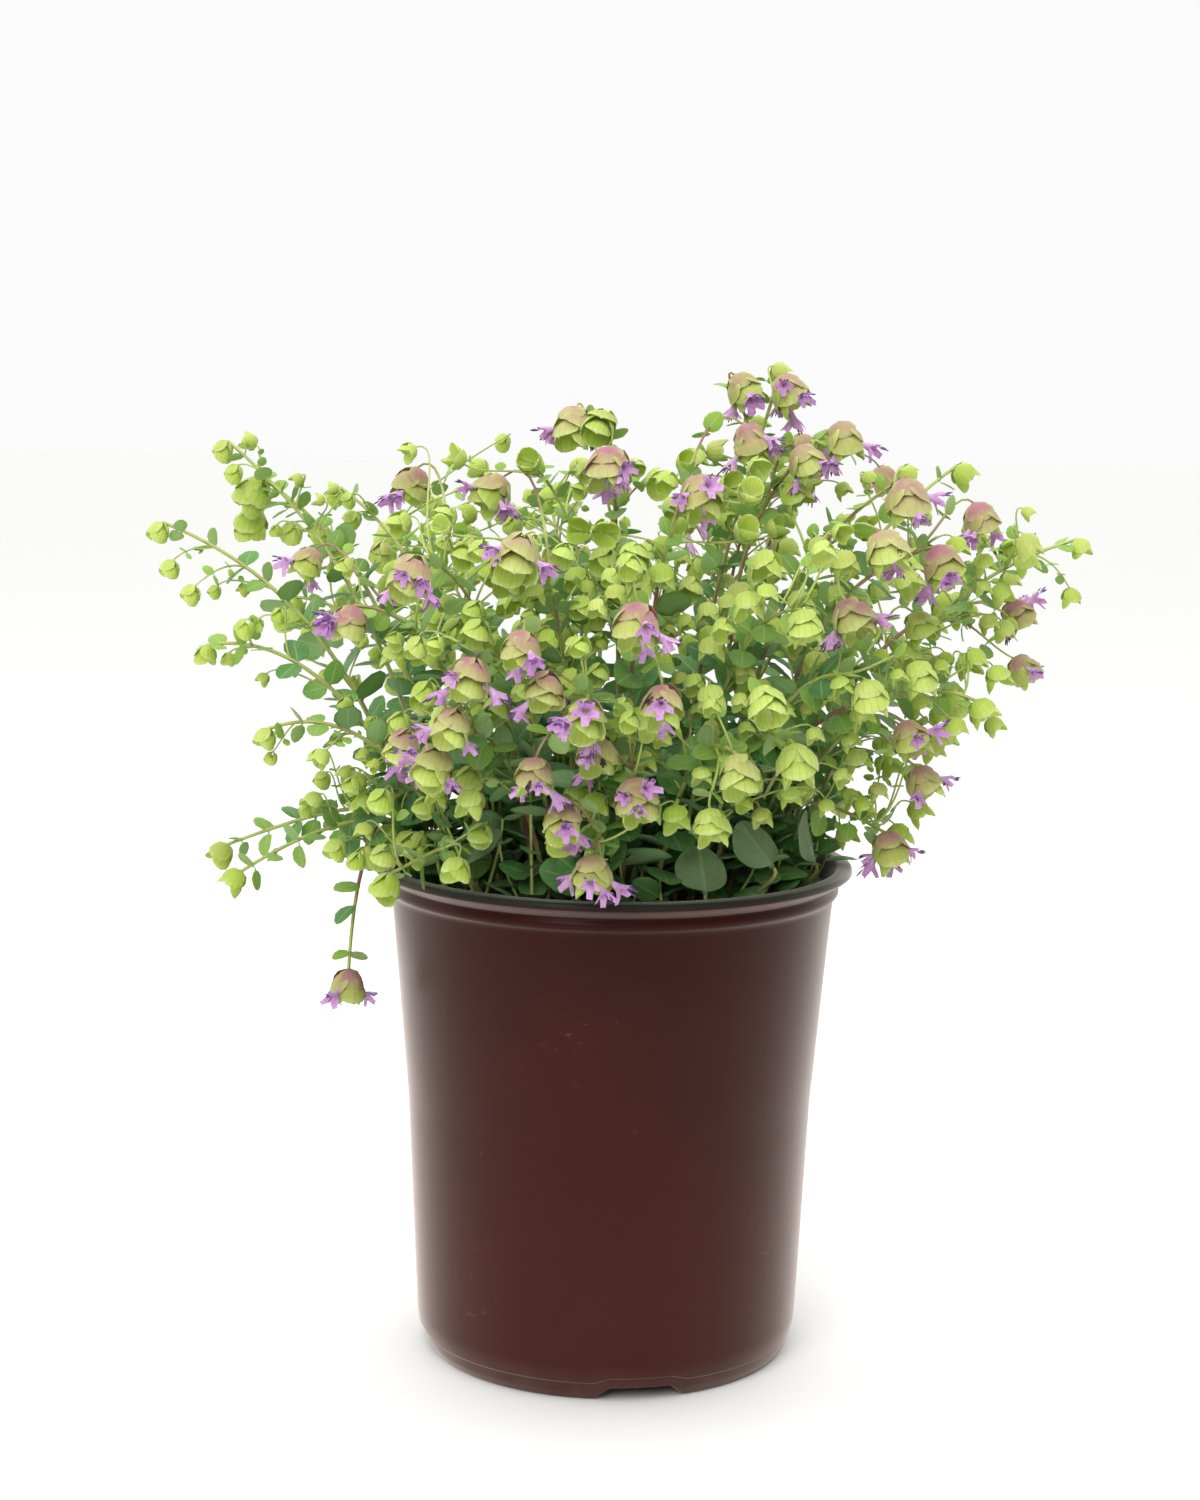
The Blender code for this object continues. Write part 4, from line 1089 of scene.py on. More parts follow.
def leaf_pair(root, onwards, turn, length, number, rng, gap):
    """Two opposite leaves at a joint: those of the pair that have room."""
    pair = round_joint(onwards, turn)
    found = []
    for sign in (1, -1):
        along, across = blade_ways(sign * pair, onwards, 0.3, 0.42, rng)
        balls = leaf_balls(root, along, across, length)
        slim = (balls[0], 0.5 * balls[1])
        if crowd.free(slim, number, gap):
            crowd.add(slim, number)
            found.append({"root": root, "along": along, "across": across, "length": length})
    return found


def add_small_leaves(stem, number, rng):
    """Leaves at all the stem's joints, and a little pair half-way up each of its shoots."""
    turn = rng.uniform(0, math.pi)
    for joint, at in enumerate(np.linspace(0.10, 0.97, JOINTS)):
        length = np.interp(at, (0.1, 0.35, 0.7, 1), (15.5, 14.5, 11, 6)) * rng.uniform(0.8, 1.2)
        if all(abs(leaf["at"] - at) > 0.04 for leaf in stem["leaves"]):
            onwards = tangent_at(stem["corners"], at)
            angle = turn + 0.5 * math.pi * joint
            pair = leaf_pair(settled(stem, at), onwards, angle, length, number, rng, 0.0)
            stem["small_leaves"] += [{**leaf, "height": at} for leaf in pair]
    joints = [(shoot, at) for shoot in stem["heads"][1:] for at in (0.3, 0.62)]
    joints += [(shoot, 0.5) for shoot in stem["small_heads"]]
    for shoot, at in joints:
        root = bezier(shoot["corners"], at)[0]
        onwards = tangent_at(shoot["corners"], at)
        length = rng.uniform(0.38, 0.64) * shoot["size"]
        turn = rng.uniform(0, math.pi)
        pair = leaf_pair(root, onwards, turn, length, number, rng, -0.4)
        stem["small_leaves"] += [{**leaf, "height": 1.0} for leaf in pair]


def grow_young_shoot(number, rng):
    """A leafy shoot that stands up from the soil inside the rim and leans out a little."""
    for _ in range(30):
        out = 66 * math.sqrt(rng.uniform(0.02, 1))
        turn = rng.uniform(0, 2 * math.pi)
        outwards = np.array((math.cos(turn), math.sin(turn), 0))
        root = outwards * out + (0, 0, SOIL_TOP)
        height = rng.uniform(24, 62) + 80 * max(0.0, 1 - out / 58) * rng.uniform(0, 1)
        sway = outwards * rng.uniform(0.0, 0.35) * height + rng.normal(0, 4, 3) * (1, 1, 0)
        tip = root + sway + (0, 0, height)
        corners = np.array((root, root + (0, 0, 0.4 * height), tip - (0, 0, 0.3 * height), tip))
        balls = balls_along(bezier(corners, np.linspace(0, 1, 21)), YOUNG_SHOOT_RADIUS, 2.0)
        if crowd.free(above_soil(balls), number, 0.1):
            crowd.add(balls, number)
            shoot = {"corners": corners, "leaves": []}
            angle = rng.uniform(0, math.pi)
            for joint, at in enumerate(np.linspace(0.25, 0.99, 3 + round(height / 18))):
                length = np.interp(at, (0.3, 0.75, 1), (14, 12.5, 8)) * rng.uniform(0.8, 1.15)
                root = bezier(corners, at)[0]
                onwards = tangent_at(corners, at)
                turned = angle + 0.5 * math.pi * joint
                pair = leaf_pair(root, onwards, turned, length, number, rng, -0.3)
                shoot["leaves"] += [{**leaf, "height": 0.0} for leaf in pair]
            return shoot
    return None


def hang(head, rng):
    """Turns a head part of the way to straight down about its middle, and gives its top's shift."""
    middle = head["top"] + HEAD_MIDDLE * head["size"] * head["axis"]
    share = rng.uniform(*HANG)
    head["axis"] = unit(head["axis"] * (1 - share, 1 - share, 1) - (0, 0, 0.5 * share))
    moved = middle - HEAD_MIDDLE * head["size"] * head["axis"] - head["top"]
    head["top"] = head["top"] + moved
    return moved


def hang_heads(stem, rng):
    """Hangs the stem's own end head and those of its shoots."""
    bend = np.array((0, 0, 0.6, 1.0))[:, None]
    end, *others = stem["heads"]
    stem["corners"] = stem["corners"] + bend * hang(end, rng)
    for shoot in others + stem["small_heads"]:
        shoot["corners"] = shoot["corners"] + bend * hang(shoot, rng)


def dress_plant():
    """All the finer growth, the heads first because they show most."""
    rng = np.random.default_rng(SEED + 1)
    for stem in stems:
        stem["small_heads"] = []
        stem["small_leaves"] = []
    for _ in range(SMALL_HEADS_A_STEM):
        for number, stem in enumerate(stems):
            add_small_head(stem, number, rng)
    for region in BARE_REGIONS:
        fill_region(*region, rng)
    for number, stem in enumerate(stems):
        add_small_leaves(stem, number, rng)
    first = len(stems) + len(BASAL_LEAVES)
    young = [grow_young_shoot(first + index, rng) for index in range(YOUNG_SHOOTS)]
    for stem in stems:
        hang_heads(stem, rng)
    return [shoot for shoot in young if shoot]


young_shoots = dress_plant()
SIDES = ("front", "right", "back", "left")


def on_side(side):
    """The stems whose end leans towards one side of the pot."""
    chosen = []
    for stem in stems:
        end = stem["corners"][-1]
        quarter = (math.degrees(math.atan2(end[1], end[0])) + 135) % 360 // 90
        if SIDES[int(quarter)] == side:
            chosen.append(stem)
    return chosen


def node_names(side_stems):
    """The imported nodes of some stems."""
    numbered = enumerate(stems, start=1)
    return [f"stem_{number:02d}" for number, stem in numbered if any(stem is s for s in side_stems)]


# The stems: thin, wiry and four-angled, olive where they are young and mauve-brown where sun has reached
# them. Each grows from the soil in one long curve, and its side shoots leave it at a leaf joint.
STEM_ROWS = 36
STEM_SIDES = 8
SHOOT_ROWS = 12
SHOOT_SIDES = 6
STEM_TIP_RADIUS = 0.5
SHOOT_TIP_RADIUS = 0.38
ROOT_DEPTH = 6.0
STEM_OLIVE = ("#8f9350", "#a3b45c")
STEM_MAUVE = "#8a6656"


def tube_surface(paths, radii, sides, ridge):
    """Tubes round many paths at once, as points in rows and rings, and their faces.

    At each row the ring lies square to the path. Its first direction is square to the direction that
    the path's tangents lean to least, so the rings don't twist. The radius swells by the share ridge at
    four angles, which gives the square section of a mint's stem.
    """
    tangents = unit(np.gradient(paths, axis=1))
    flat = np.linalg.svd(tangents)[2][:, -1]
    side = unit(np.cross(tangents, flat[:, None]))[:, :, None]
    other = np.cross(tangents, side[:, :, 0])[:, :, None]
    turns = (np.arange(sides) * 2 * math.pi / sides)[:, None]
    reach = np.asarray(radii)[..., None, None] * (1 + ridge * np.cos(4 * turns))
    points = paths[:, :, None] + reach * (np.cos(turns) * side + np.sin(turns) * other)
    count, rows = paths.shape[:2]
    return points.reshape(-1, 3), repeated(ring_faces(rows, sides), count, rows * sides)


def joined(surfaces):
    """One surface from several, each with its points, faces and values at its points."""
    points = np.vstack([surface[0] for surface in surfaces])
    sizes = [len(surface[0]) for surface in surfaces]
    starts = np.cumsum([0, *sizes[:-1]])
    faces = np.vstack([surface[1] + start for surface, start in zip(surfaces, starts, strict=True)])
    names = surfaces[0][2].keys()
    return points, faces, {name: np.concatenate([s[2][name].ravel() for s in surfaces]) for name in names}


def trunk_surface(side_stems):
    """The main stems, from just under the soil to the top of their end heads."""
    at = np.linspace(0, 1, STEM_ROWS - 1)
    curves = np.array([bezier(stem["corners"], at) for stem in side_stems])
    roots = curves[:, :1] - (0, 0, ROOT_DEPTH)
    paths = np.concatenate([roots, curves], axis=1)
    radii = np.linspace(STEM_RADIUS, STEM_TIP_RADIUS, STEM_ROWS)
    points, faces = tube_surface(paths, radii, STEM_SIDES, 0.12)
    kind = np.array([stem["kind"] == "bloom" for stem in side_stems], float)
    bloom = np.repeat(kind, STEM_ROWS * STEM_SIDES)
    along = np.tile(np.repeat(np.linspace(0, 1, STEM_ROWS), STEM_SIDES), len(side_stems))
    return points, faces, {"bloom": bloom, "along": along}


def settled_shoot(stem, shoot):
    """The shoot's corners, with its root brought over to the stem's smooth curve."""
    corners = shoot["corners"].copy()
    shift = settled(stem, shoot["at"]) - corners[0]
    corners[0] += shift
    corners[1] += 0.6 * shift
    return corners


def shoot_surface(side_stems):
    """The side shoots that carry heads."""
    at = np.linspace(0, 1, SHOOT_ROWS)
    pairs = [(stem, stem["heads"][1:] + stem["small_heads"]) for stem in side_stems]
    owners = [(stem, shoot) for stem, shoots in pairs for shoot in shoots]
    paths = np.array([bezier(settled_shoot(stem, shoot), at) for stem, shoot in owners])
    size = np.array([shoot["size"] for _, shoot in owners])
    stout = np.clip(size / 13, 0.7, 1)[:, None]
    radii = stout * np.linspace(SHOOT_RADIUS * 0.92, SHOOT_TIP_RADIUS, SHOOT_ROWS)
    points, faces = tube_surface(paths, radii, SHOOT_SIDES, 0.0)
    kind = np.array(["bloom" == stem["kind"] == shoot["kind"] for stem, shoot in owners], float)
    bloom = np.repeat(kind, SHOOT_ROWS * SHOOT_SIDES)
    return points, faces, {"bloom": bloom, "along": np.ones(len(points))}


def wiry_stem():
    """Living stem skin: a waxy low gloss, green-tan, with mauve stretches a few centimetres long."""
    material, tree, shader = new_material("stem_skin", Roughness=0.48, IOR=1.42)
    place, bloom, along = read_values(tree, "bloom", "along")
    sunned = ramp(tree, noise(tree, place, 26, 3, 0.6), (0.40, 0.58))
    share = calc(tree, "MULTIPLY", sunned, ramp(tree, bloom, (0, 1), (0.28, 1.0)))
    paint(tree, shader, blend(tree, share, blend(tree, along, *STEM_OLIVE), STEM_MAUVE))
    emboss(tree, shader, noise(tree, place, 0.5, 2), 0.3, 0.1)
    return material


stem_skin = wiry_stem()
for side in SIDES:
    side_stems = on_side(side)
    surface = joined([trunk_surface(side_stems), shoot_surface(side_stems)])
    piece = new_piece(f"stems_{side}", *surface[:2], [stem_skin], surface[2])
    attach(piece, "root")
    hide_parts(*node_names(side_stems))

# The leaves: small, round to oval, in opposite pairs on very short stalks. They are grey-green with a
# whitish bloom above and paler below, and folded a little along a pale rib.
LEAF_ROWS = 7
LEAF_COLUMNS = 5
LEAF_MOST = 0.42
LEAF_STALK = 0.09
LEAF_THICKNESS = 0.32
LEAF_GREENS = ("#3e7636", "#6a9e50")
YOUNG_GREENS = ("#97bb3c", "#b0ce58")
OLD_GREEN = "#1f4418"
WAXY_BLOOM = "#92b88a"
PALE_VEIN = "#c2d89c"
PALE_UNDERSIDE = "#a5bf8c"
DOWN = "#dfe9dc"
LEAF_GLOW = "#a4cc3c"


def sheet_faces(rows, columns, wrapped=False):
    """Faces of a closed thin sheet: an upper and a lower grid of points that share their edge."""
    upper = np.arange(rows * columns).reshape(rows, columns)
    lower = upper.copy()
    inside = (slice(1, -1), slice(None)) if wrapped else (slice(1, -1), slice(1, -1))
    lower[inside] = rows * columns + np.arange(lower[inside].size).reshape(lower[inside].shape)
    if wrapped:
        upper = np.column_stack([upper, upper[:, 0]])
        lower = np.column_stack([lower, lower[:, 0]])
    return np.concatenate([grid_faces(upper), grid_faces(lower)[:, ::-1]])


def sheet_surface(middle, thickness, values, wrapped=False):
    """Closed sheets from grids of middle points (count, rows, columns, 3), and values on each.

    The two faces stand half the thickness off the middle along its normal and meet at the edge.
    values has numbers for the upper points by name, and those on the lower points are the same. The
    added value under is 1 on the lower points and 0 on the rest.
    """
    count, rows, columns = middle.shape[:3]
    if wrapped:
        across = np.roll(middle, -1, axis=2) - np.roll(middle, 1, axis=2)
    else:
        across = np.gradient(middle, axis=2)
    normal = unit(np.cross(across, np.gradient(middle, axis=1)))
    inside = (slice(None), slice(1, -1)) + (() if wrapped else (slice(1, -1),))
    upper = middle.copy()
    upper[inside] += 0.5 * thickness * normal[inside]
    lower = (middle - 0.5 * thickness * normal)[inside]
    points = np.concatenate([upper.reshape(count, -1, 3), lower.reshape(count, -1, 3)], axis=1)
    spread = {}
    for name, numbers in values.items():
        grid = np.broadcast_to(numbers, middle.shape[:3])
        spread[name] = np.concatenate([grid.reshape(count, -1), grid[inside].reshape(count, -1)], axis=1)
    under = np.zeros(points.shape[:2])
    under[:, rows * columns :] = 1
    spread["under"] = under
    faces = repeated(sheet_faces(rows, columns, wrapped), count, points.shape[1])
    return points.reshape(-1, 3), faces, spread


def of_each(items, key, otherwise=None):
    """A value of each item by its key, shaped so that it spreads over the item's grid of points."""
    return np.array([item.get(key, otherwise) for item in items])[:, None, None]


def leaf_surface(leaves, rows, columns, thickness, rng):
    """Blades from their roots and directions: an oval outline, folded on the rib and arched.

    Along the blade t runs from its base to its tip, and its half width is the root of t (1 - t), a
    little wider towards the base. Across it, v runs from -1 to 1. A point lies up by a share of its
    distance from the rib, which folds the blade, and down by the square of its distance from the
    root, which arches it. The edge waves by a sine of its place along the blade.
    """
    root, along, across, length = (of_each(leaves, key) for key in ("root", "along", "across", "length"))
    count = len(leaves)
    up = np.cross(across, along)
    t = 0.5 - 0.5 * np.cos(math.pi * np.linspace(0, 1, rows - 1))
    u = np.concatenate([[0], LEAF_STALK + (1 - LEAF_STALK) * t])[None, :, None]
    oval = 2 * np.sqrt(t * (1 - t)) * (1.07 - 0.24 * t)
    shape = np.concatenate([[0.1], np.maximum(0.10, oval)])[None, :, None]
    v = np.sin(0.5 * math.pi * np.linspace(-1, 1, columns))[None, None]
    most = rng.uniform(0.88, 1.12, (count, 1, 1)) * of_each(leaves, "width", LEAF_MOST)
    fold = rng.uniform(0.08, 0.34, (count, 1, 1))
    arch = rng.uniform(-0.06, 0.24, (count, 1, 1))
    phase = rng.uniform(0, 2 * math.pi, (count, 1, 1))
    twist = rng.normal(0, 0.10, (count, 1, 1))
    half = most * shape * v
    rise = fold * np.abs(half) - arch * u**2 + twist * half * u
    rise = rise + 0.012 * np.sin(14 * u + phase + 2 * v) * v**4 - 0.05 * v**4 * shape
    offset = (length * u)[..., None] * along + (length * half)[..., None] * across
    middle = root + offset + (length * rise)[..., None] * up
    tone = rng.uniform(0, 1, (count, 1, 1))
    values = {"tone": tone, "along": u, "rib": v, "age": of_each(leaves, "age")}
    return sheet_surface(middle, thickness, values)


def with_light_through(tree, shader, colour, share):
    """The surface's shader mixed with light that comes through it from behind, in a colour."""
    through = put(tree, "BsdfTranslucent", {"Color": colour})
    both = put(tree, "MixShader", {0: share, 1: shader.outputs[0], 2: through.outputs[0]})
    tree.links.new(both.outputs[0], tree.nodes["Material Output"].inputs["Surface"])


def oregano_leaf():
    """A downy blade: soft sheen, whitish bloom, a pale rib and arching side veins, paler beneath."""
    material, tree, shader = new_material(
        "oregano_leaf",
        Roughness=0.52,
        IOR=1.4,
        Sheen_Weight=0.12,
        Sheen_Roughness=0.45,
        Sheen_Tint=linear(DOWN),
    )
    place, tone, along, rib, under, age = read_values(tree, "tone", "along", "rib", "under", "age")
    off_rib = calc(tree, "ABSOLUTE", rib)
    grown = blend(tree, age, blend(tree, tone, *YOUNG_GREENS), blend(tree, tone, *LEAF_GREENS))
    aged = blend(tree, ramp(tree, age, (1.0, 1.4), (0, 0.85)), grown, OLD_GREEN)
    cloud = ramp(tree, noise(tree, place, 5, 4, 0.6), (0.40, 0.70), (0, 0.26))
    waxed = blend(tree, cloud, aged, WAXY_BLOOM)
    lean = calc(tree, "MULTIPLY_ADD", off_rib, -0.42, along)
    wave = calc(tree, "SINE", calc(tree, "MULTIPLY", lean, 34.0))
    side_veins = calc(tree, "MULTIPLY", ramp(tree, wave, (0.80, 1.0)), 0.4)
    lines = calc(tree, "MAXIMUM", side_veins, ramp(tree, off_rib, (0.10, 0.03)))
    veined = blend(tree, calc(tree, "MULTIPLY", lines, 0.38), waxed, PALE_VEIN)
    colour = blend(tree, calc(tree, "MULTIPLY", under, 0.55), veined, PALE_UNDERSIDE)
    paint(tree, shader, colour)
    relief = calc(tree, "MULTIPLY_ADD", lines, -0.8, noise(tree, place, 0.6, 2))
    emboss(tree, shader, relief, 0.35, 0.2)
    with_light_through(tree, shader, blend(tree, 0.5, colour, LEAF_GLOW), 0.35)
    return material


def stem_leaves(side_stems):
    """All leaves of some stems, their roots brought over to the stems' smooth curves."""
    leaves = []
    for stem in side_stems:
        for leaf in stem["leaves"]:
            shift = settled(stem, leaf["at"]) - on_stem(stem, leaf["at"])
            leaves.append({**leaf, "root": leaf["root"] + shift, "age": 1.0})
        for leaf in stem["small_leaves"]:
            leaves.append({**leaf, "age": float(np.interp(leaf["height"], (0.45, 1.0), (1.0, 0.1)))})
    return leaves


leaf_blade = oregano_leaf()
leaf_rng = np.random.default_rng(SEED + 2)
for side in SIDES:
    side_stems = on_side(side)
    surface = leaf_surface(stem_leaves(side_stems), LEAF_ROWS, LEAF_COLUMNS, LEAF_THICKNESS, leaf_rng)
    piece = new_piece(f"leaves_{side}", *surface[:2], [leaf_blade], surface[2])
    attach(piece, "root")
    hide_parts(*node_names(side_stems))

# The young shoots and the basal leaves: soft leafy growth that stands in the mouth of the pot under the
# flowering stems, with a few large round leaves by the rim, each on a stalk from the soil.
YOUNG_RADII = (0.7, 0.4)
BASAL_RADII = (0.85, 0.6)
BASAL_AGE = 1.4
BASAL_WIDTH = 0.5


def rooted_tubes(name, shoots, depth, radii, sides, along):
    """A piece of round tubes along the shoots' curves, which reach down into the soil by a depth."""
    paths = np.array([bezier(shoot["corners"], np.linspace(0, 1, SHOOT_ROWS)) for shoot in shoots])
    paths[:, 0] -= (0, 0, depth)
    points, faces = tube_surface(paths, np.linspace(*radii, SHOOT_ROWS), sides, 0.0)
    values = {"bloom": np.zeros(len(points)), "along": np.full(len(points), along)}
    return new_piece(name, points, faces, [stem_skin], values)


young_stems = rooted_tubes("young_shoots", young_shoots, ROOT_DEPTH - 3, YOUNG_RADII, SHOOT_SIDES, 1.0)
young = [{**leaf, "age": 1.0} for shoot in young_shoots for leaf in shoot["leaves"]]
surface = leaf_surface(young, LEAF_ROWS, LEAF_COLUMNS, LEAF_THICKNESS, leaf_rng)
young_leaves = new_piece("young_shoot_leaves", *surface[:2], [leaf_blade], surface[2])
basal_stems = rooted_tubes("basal_leaf_stalks", basal_stalks, ROOT_DEPTH, BASAL_RADII, STEM_SIDES, 0.0)
basal = [{**stalk["leaf"], "age": BASAL_AGE, "width": BASAL_WIDTH} for stalk in basal_stalks]
surface = leaf_surface(basal, 17, 15, 0.5, leaf_rng)
basal_blades = new_piece("basal_leaf_blades", *surface[:2], [leaf_blade], surface[2])
for piece in (young_stems, young_leaves, basal_stems, basal_blades):
    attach(piece, "root")
for piece in (basal_stems, basal_blades):
    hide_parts(*[f"basal_leaf_{index + 1}" for index in range(len(basal_stalks))])

# The heads: nodding cones of broad papery bracts, like a hop's. The bracts sit in pairs, each pair a
# right angle round from the last, and cup over the next. They are lime with paler edges, and those of
# the heads in bloom blush rose where the sun reaches them.
BRACT_ROWS = 6
BRACT_COLUMNS = 7
BRACT_THICKNESS = 0.2
LARGE_HEAD = 11.5
BRACT_LIME = ("#bcd254", "#d4e27c")
BRACT_MIDDLE = "#a8c244"
BRACT_EDGE = "#e2ebb0"
BRACT_VEIN = "#94b244"
BRACT_ROSE = "#be7b90"
BRACT_GLOW = "#d4e666"

# A head's tiers from its top down, each as the start, reach and radius of its bracts in lengths of the
# head, and as half the angle that a bract spans and the angle that it bends through, in degrees.
TIERS_OF_LARGE = (
    (-0.02, 0.36, 0.34, 78, 102),
    (0.08, 0.44, 0.42, 80, 104),
    (0.24, 0.42, 0.41, 80, 108),
    (0.42, 0.36, 0.33, 78, 118),
)
TIERS_OF_SMALL = (
    (-0.02, 0.50, 0.40, 82, 104),
    (0.20, 0.47, 0.40, 82, 114),
)


def bract_list(heads, rng):
    """Each head's bracts: its tiers' start, reach, radius, half angle and bend, a little varied."""
    bracts = []
    for head in heads:
        axis = head["axis"]
        side = unit(np.cross(axis, (0.31, 0.17, 1)))
        tiers = TIERS_OF_LARGE if head["size"] >= LARGE_HEAD else TIERS_OF_SMALL
        blush = rng.uniform(0.6, 1.0) if head["kind"] == "bloom" else max(0.0, rng.normal(-0.1, 0.16))
        lean = rng.uniform(0, 2 * math.pi)
        tone = rng.uniform(0, 1)
        shut = rng.uniform(-6, 8)
        for tier, (start, reach, radius, half, bend) in enumerate(tiers):
            for pair in (0, 1):
                turn = math.pi * pair + 0.5 * math.pi * tier + rng.normal(0, 0.13)
                facing_up = unit(math.cos(turn) * side + math.sin(turn) * np.cross(axis, side))[2]
                high = np.clip(1.1 - 0.36 * tier + 0.5 * facing_up + 0.25 * math.cos(turn - lean), 0, 1)
                bracts.append(
                    {
                        "top": head["top"],
                        "axis": axis,
                        "side": side,
                        "size": head["size"],
                        "turn": turn,
                        "start": start + rng.normal(0, 0.012),
                        "reach": reach * rng.uniform(0.93, 1.07),
                        "radius": radius * rng.uniform(0.93, 1.06),
                        "half": math.radians(half) * rng.uniform(0.92, 1.0),
                        "bend": math.radians(bend + shut + rng.uniform(-5, 5)),
                        "tone": np.clip(tone + rng.normal(0, 0.15), 0, 1),
                        "blush": blush * high,
                    }
                )
    return bracts


def bract_surface(bracts, rng):
    """Cupped bracts wrapped round their heads' axes.

    u runs from the base to the tip, and v across from -1 to 1. The distance from the axis rises as the
    sine of an angle that grows with u, and the place along the axis as one less its cosine, which
    makes rather more than a quarter of an oval bowl. The bract spans an angle round the axis that
    closes as the root of one less the fourth power of u, but for a small point that is left at its
    tip. Its side edges lift away a little, and all of its edge waves.
    """
    value = {key: of_each(bracts, key) for key in bracts[0]}
    count = len(bracts)
    u = (np.sin(0.5 * math.pi * np.linspace(0, 1, BRACT_ROWS)) ** 0.85)[None, :, None]
    v = np.sin(0.5 * math.pi * np.linspace(-1, 1, BRACT_COLUMNS))[None, None]
    bend = u * value["bend"]
    phase = rng.uniform(0, 2 * math.pi, (count, 1, 1))
    waves = rng.uniform(0.6, 1.7, (count, 1, 1))
    close = np.sqrt(np.maximum(1 - u**4, 0.004))
    edge = np.maximum(np.abs(v) ** 5, u**7 * np.ones_like(v))
    out = 0.04 + value["radius"] * np.sin(bend) + 0.035 * v**4 * u
    out = out + 0.014 * edge * np.sin(waves * math.pi * v + 6 * u + phase)
    deep = value["start"] + value["reach"] * (1 - np.cos(bend)) + 0.03 * u**8 * (1 - np.abs(v))
    turn = value["turn"] + v * value["half"] * close
    other = np.cross(value["axis"], value["side"])
    spoke = np.cos(turn)[..., None] * value["side"] + np.sin(turn)[..., None] * other
    size = value["size"]
    middle = value["top"] + (size * deep)[..., None] * value["axis"] + (size * out)[..., None] * spoke
    values = {"tone": value["tone"], "blush": value["blush"], "along": u, "rib": v * close}
    return sheet_surface(middle, BRACT_THICKNESS, values)


def papery_bract():
    """Thin papery bract: dull, with light coming through it, a greener middle and fine branching veins."""
    material, tree, shader = new_material("papery_bract", Roughness=0.5, IOR=1.38, Sheen_Weight=0.15)
    place, tone, along, rib, blush = read_values(tree, "tone", "along", "rib", "blush")
    outwards = calc(tree, "MAXIMUM", along, calc(tree, "ABSOLUTE", rib))
    lime = blend(tree, tone, *BRACT_LIME)
    greener = blend(tree, ramp(tree, outwards, (0.75, 0.15), (0, 0.45)), lime, BRACT_MIDDLE)
    edged = blend(tree, ramp(tree, outwards, (0.80, 1.0), (0, 0.75)), greener, BRACT_EDGE)
    spread = calc(tree, "MULTIPLY", rib, 22.0)
    wave = calc(tree, "SINE", calc(tree, "MULTIPLY_ADD", noise(tree, place, 2.5, 2), 3.0, spread))
    veined = blend(tree, ramp(tree, wave, (0.72, 1.0), (0, 0.28)), edged, BRACT_VEIN)
    patchy = ramp(tree, noise(tree, place, 4, 3), (0.25, 0.55), (0.6, 1))
    sunned = ramp(tree, outwards, (1.05, 0.6), (0.25, 1))
    share = calc(tree, "MULTIPLY", patchy, calc(tree, "MULTIPLY", sunned, blush))
    rosy = blend(tree, share, veined, BRACT_ROSE)
    paint(tree, shader, rosy)
    emboss(tree, shader, wave, 0.25, 0.12)
    green = calc(tree, "MULTIPLY_ADD", share, -0.35, 0.35)
    with_light_through(tree, shader, blend(tree, green, rosy, BRACT_GLOW), 0.36)
    return material


bract_paper = papery_bract()
bract_rng = np.random.default_rng(SEED + 3)
for side in SIDES:
    side_stems = on_side(side)
    heads = [head for stem in side_stems for head in stem["heads"] + stem["small_heads"]]
    surface = bract_surface(bract_list(heads, bract_rng), bract_rng)
    piece = new_piece(f"bracts_{side}", *surface[:2], [bract_paper], surface[2])
    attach(piece, "root")
    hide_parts(*node_names(side_stems))

# The flowers: mauve two-lipped trumpets that push out between the bracts in ones and twos, with a
# notched hood, a lower lip of three ragged lobes and stamens that stand out of the mouth. A few have
# withered on the plant to thin brown tubes.
FLOWER_LENGTH = 10.0
FLOWER_COLUMNS = 15
LOBES = 5
LOBE_CUT = 0.72
TUBE_PLACES = (0.0, 0.40, 0.62)
TUBE_RADII = (0.55, 0.85, 1.35)
LIMB_SHARES = (0.5, 1.0)
STAMENS = 4
STAMEN_ROWS = 6
PETAL_MAUVE = ("#d09ad4", "#e2b9e4")
# Painted shade: the darker colour of the petals' folds.
PETAL_FOLD_SHADE = "#b070bc"
PETAL_THROAT = "#e6d0ea"
WITHERED = "#5e3f4c"
STAMEN_LILAC = ("#cfa9dc", "#5e3470")


def flower_list(side_stems, rng):
    """The flowers that the rule placed, and pairs of others round each head in bloom, a few withered."""
    flowers = []
    for stem in side_stems:
        for flower in stem["flowers"]:
            flowers.append({**flower, "size": rng.uniform(0.9, 1.05), "age": 0.0})
        for head in stem["heads"]:
            if head["kind"] != "bloom":
                continue
            side = unit(np.cross(head["axis"], (0.2, 0.3, 1)))
            other = np.cross(head["axis"], side)
            first = rng.uniform(0, 2 * math.pi)
            for turn in first + np.array((0, 0.35, 2.8)) + rng.normal(0, 0.12, 3):
                outwards = math.cos(turn) * side + math.sin(turn) * other
                deep = rng.uniform(0.28, 0.60)
                start = head["top"] + head["axis"] * deep * head["size"] + outwards * 0.22 * head["size"]
                along = unit(outwards + rng.uniform(0.2, 0.9) * head["axis"] + rng.normal(0, 0.12, 3))
                fresh = rng.random() < 0.85
                size = rng.uniform(0.7, 0.98) if fresh else rng.uniform(0.6, 0.8)
                flowers.append({"start": start, "along": along, "size": size, "age": 0.0 if fresh else 1.0})
    return flowers


def flower_frames(flowers):
    """Each flower's start, forward, upward and sideways directions, and its size."""
    start, along = (np.array([flower[key] for flower in flowers]) for key in ("start", "along"))
    sideways = unit(np.cross(along, (0.02, 0.03, 1.0)))
    return start, along, np.cross(sideways, along), sideways, np.array([flower["size"] for flower in flowers])


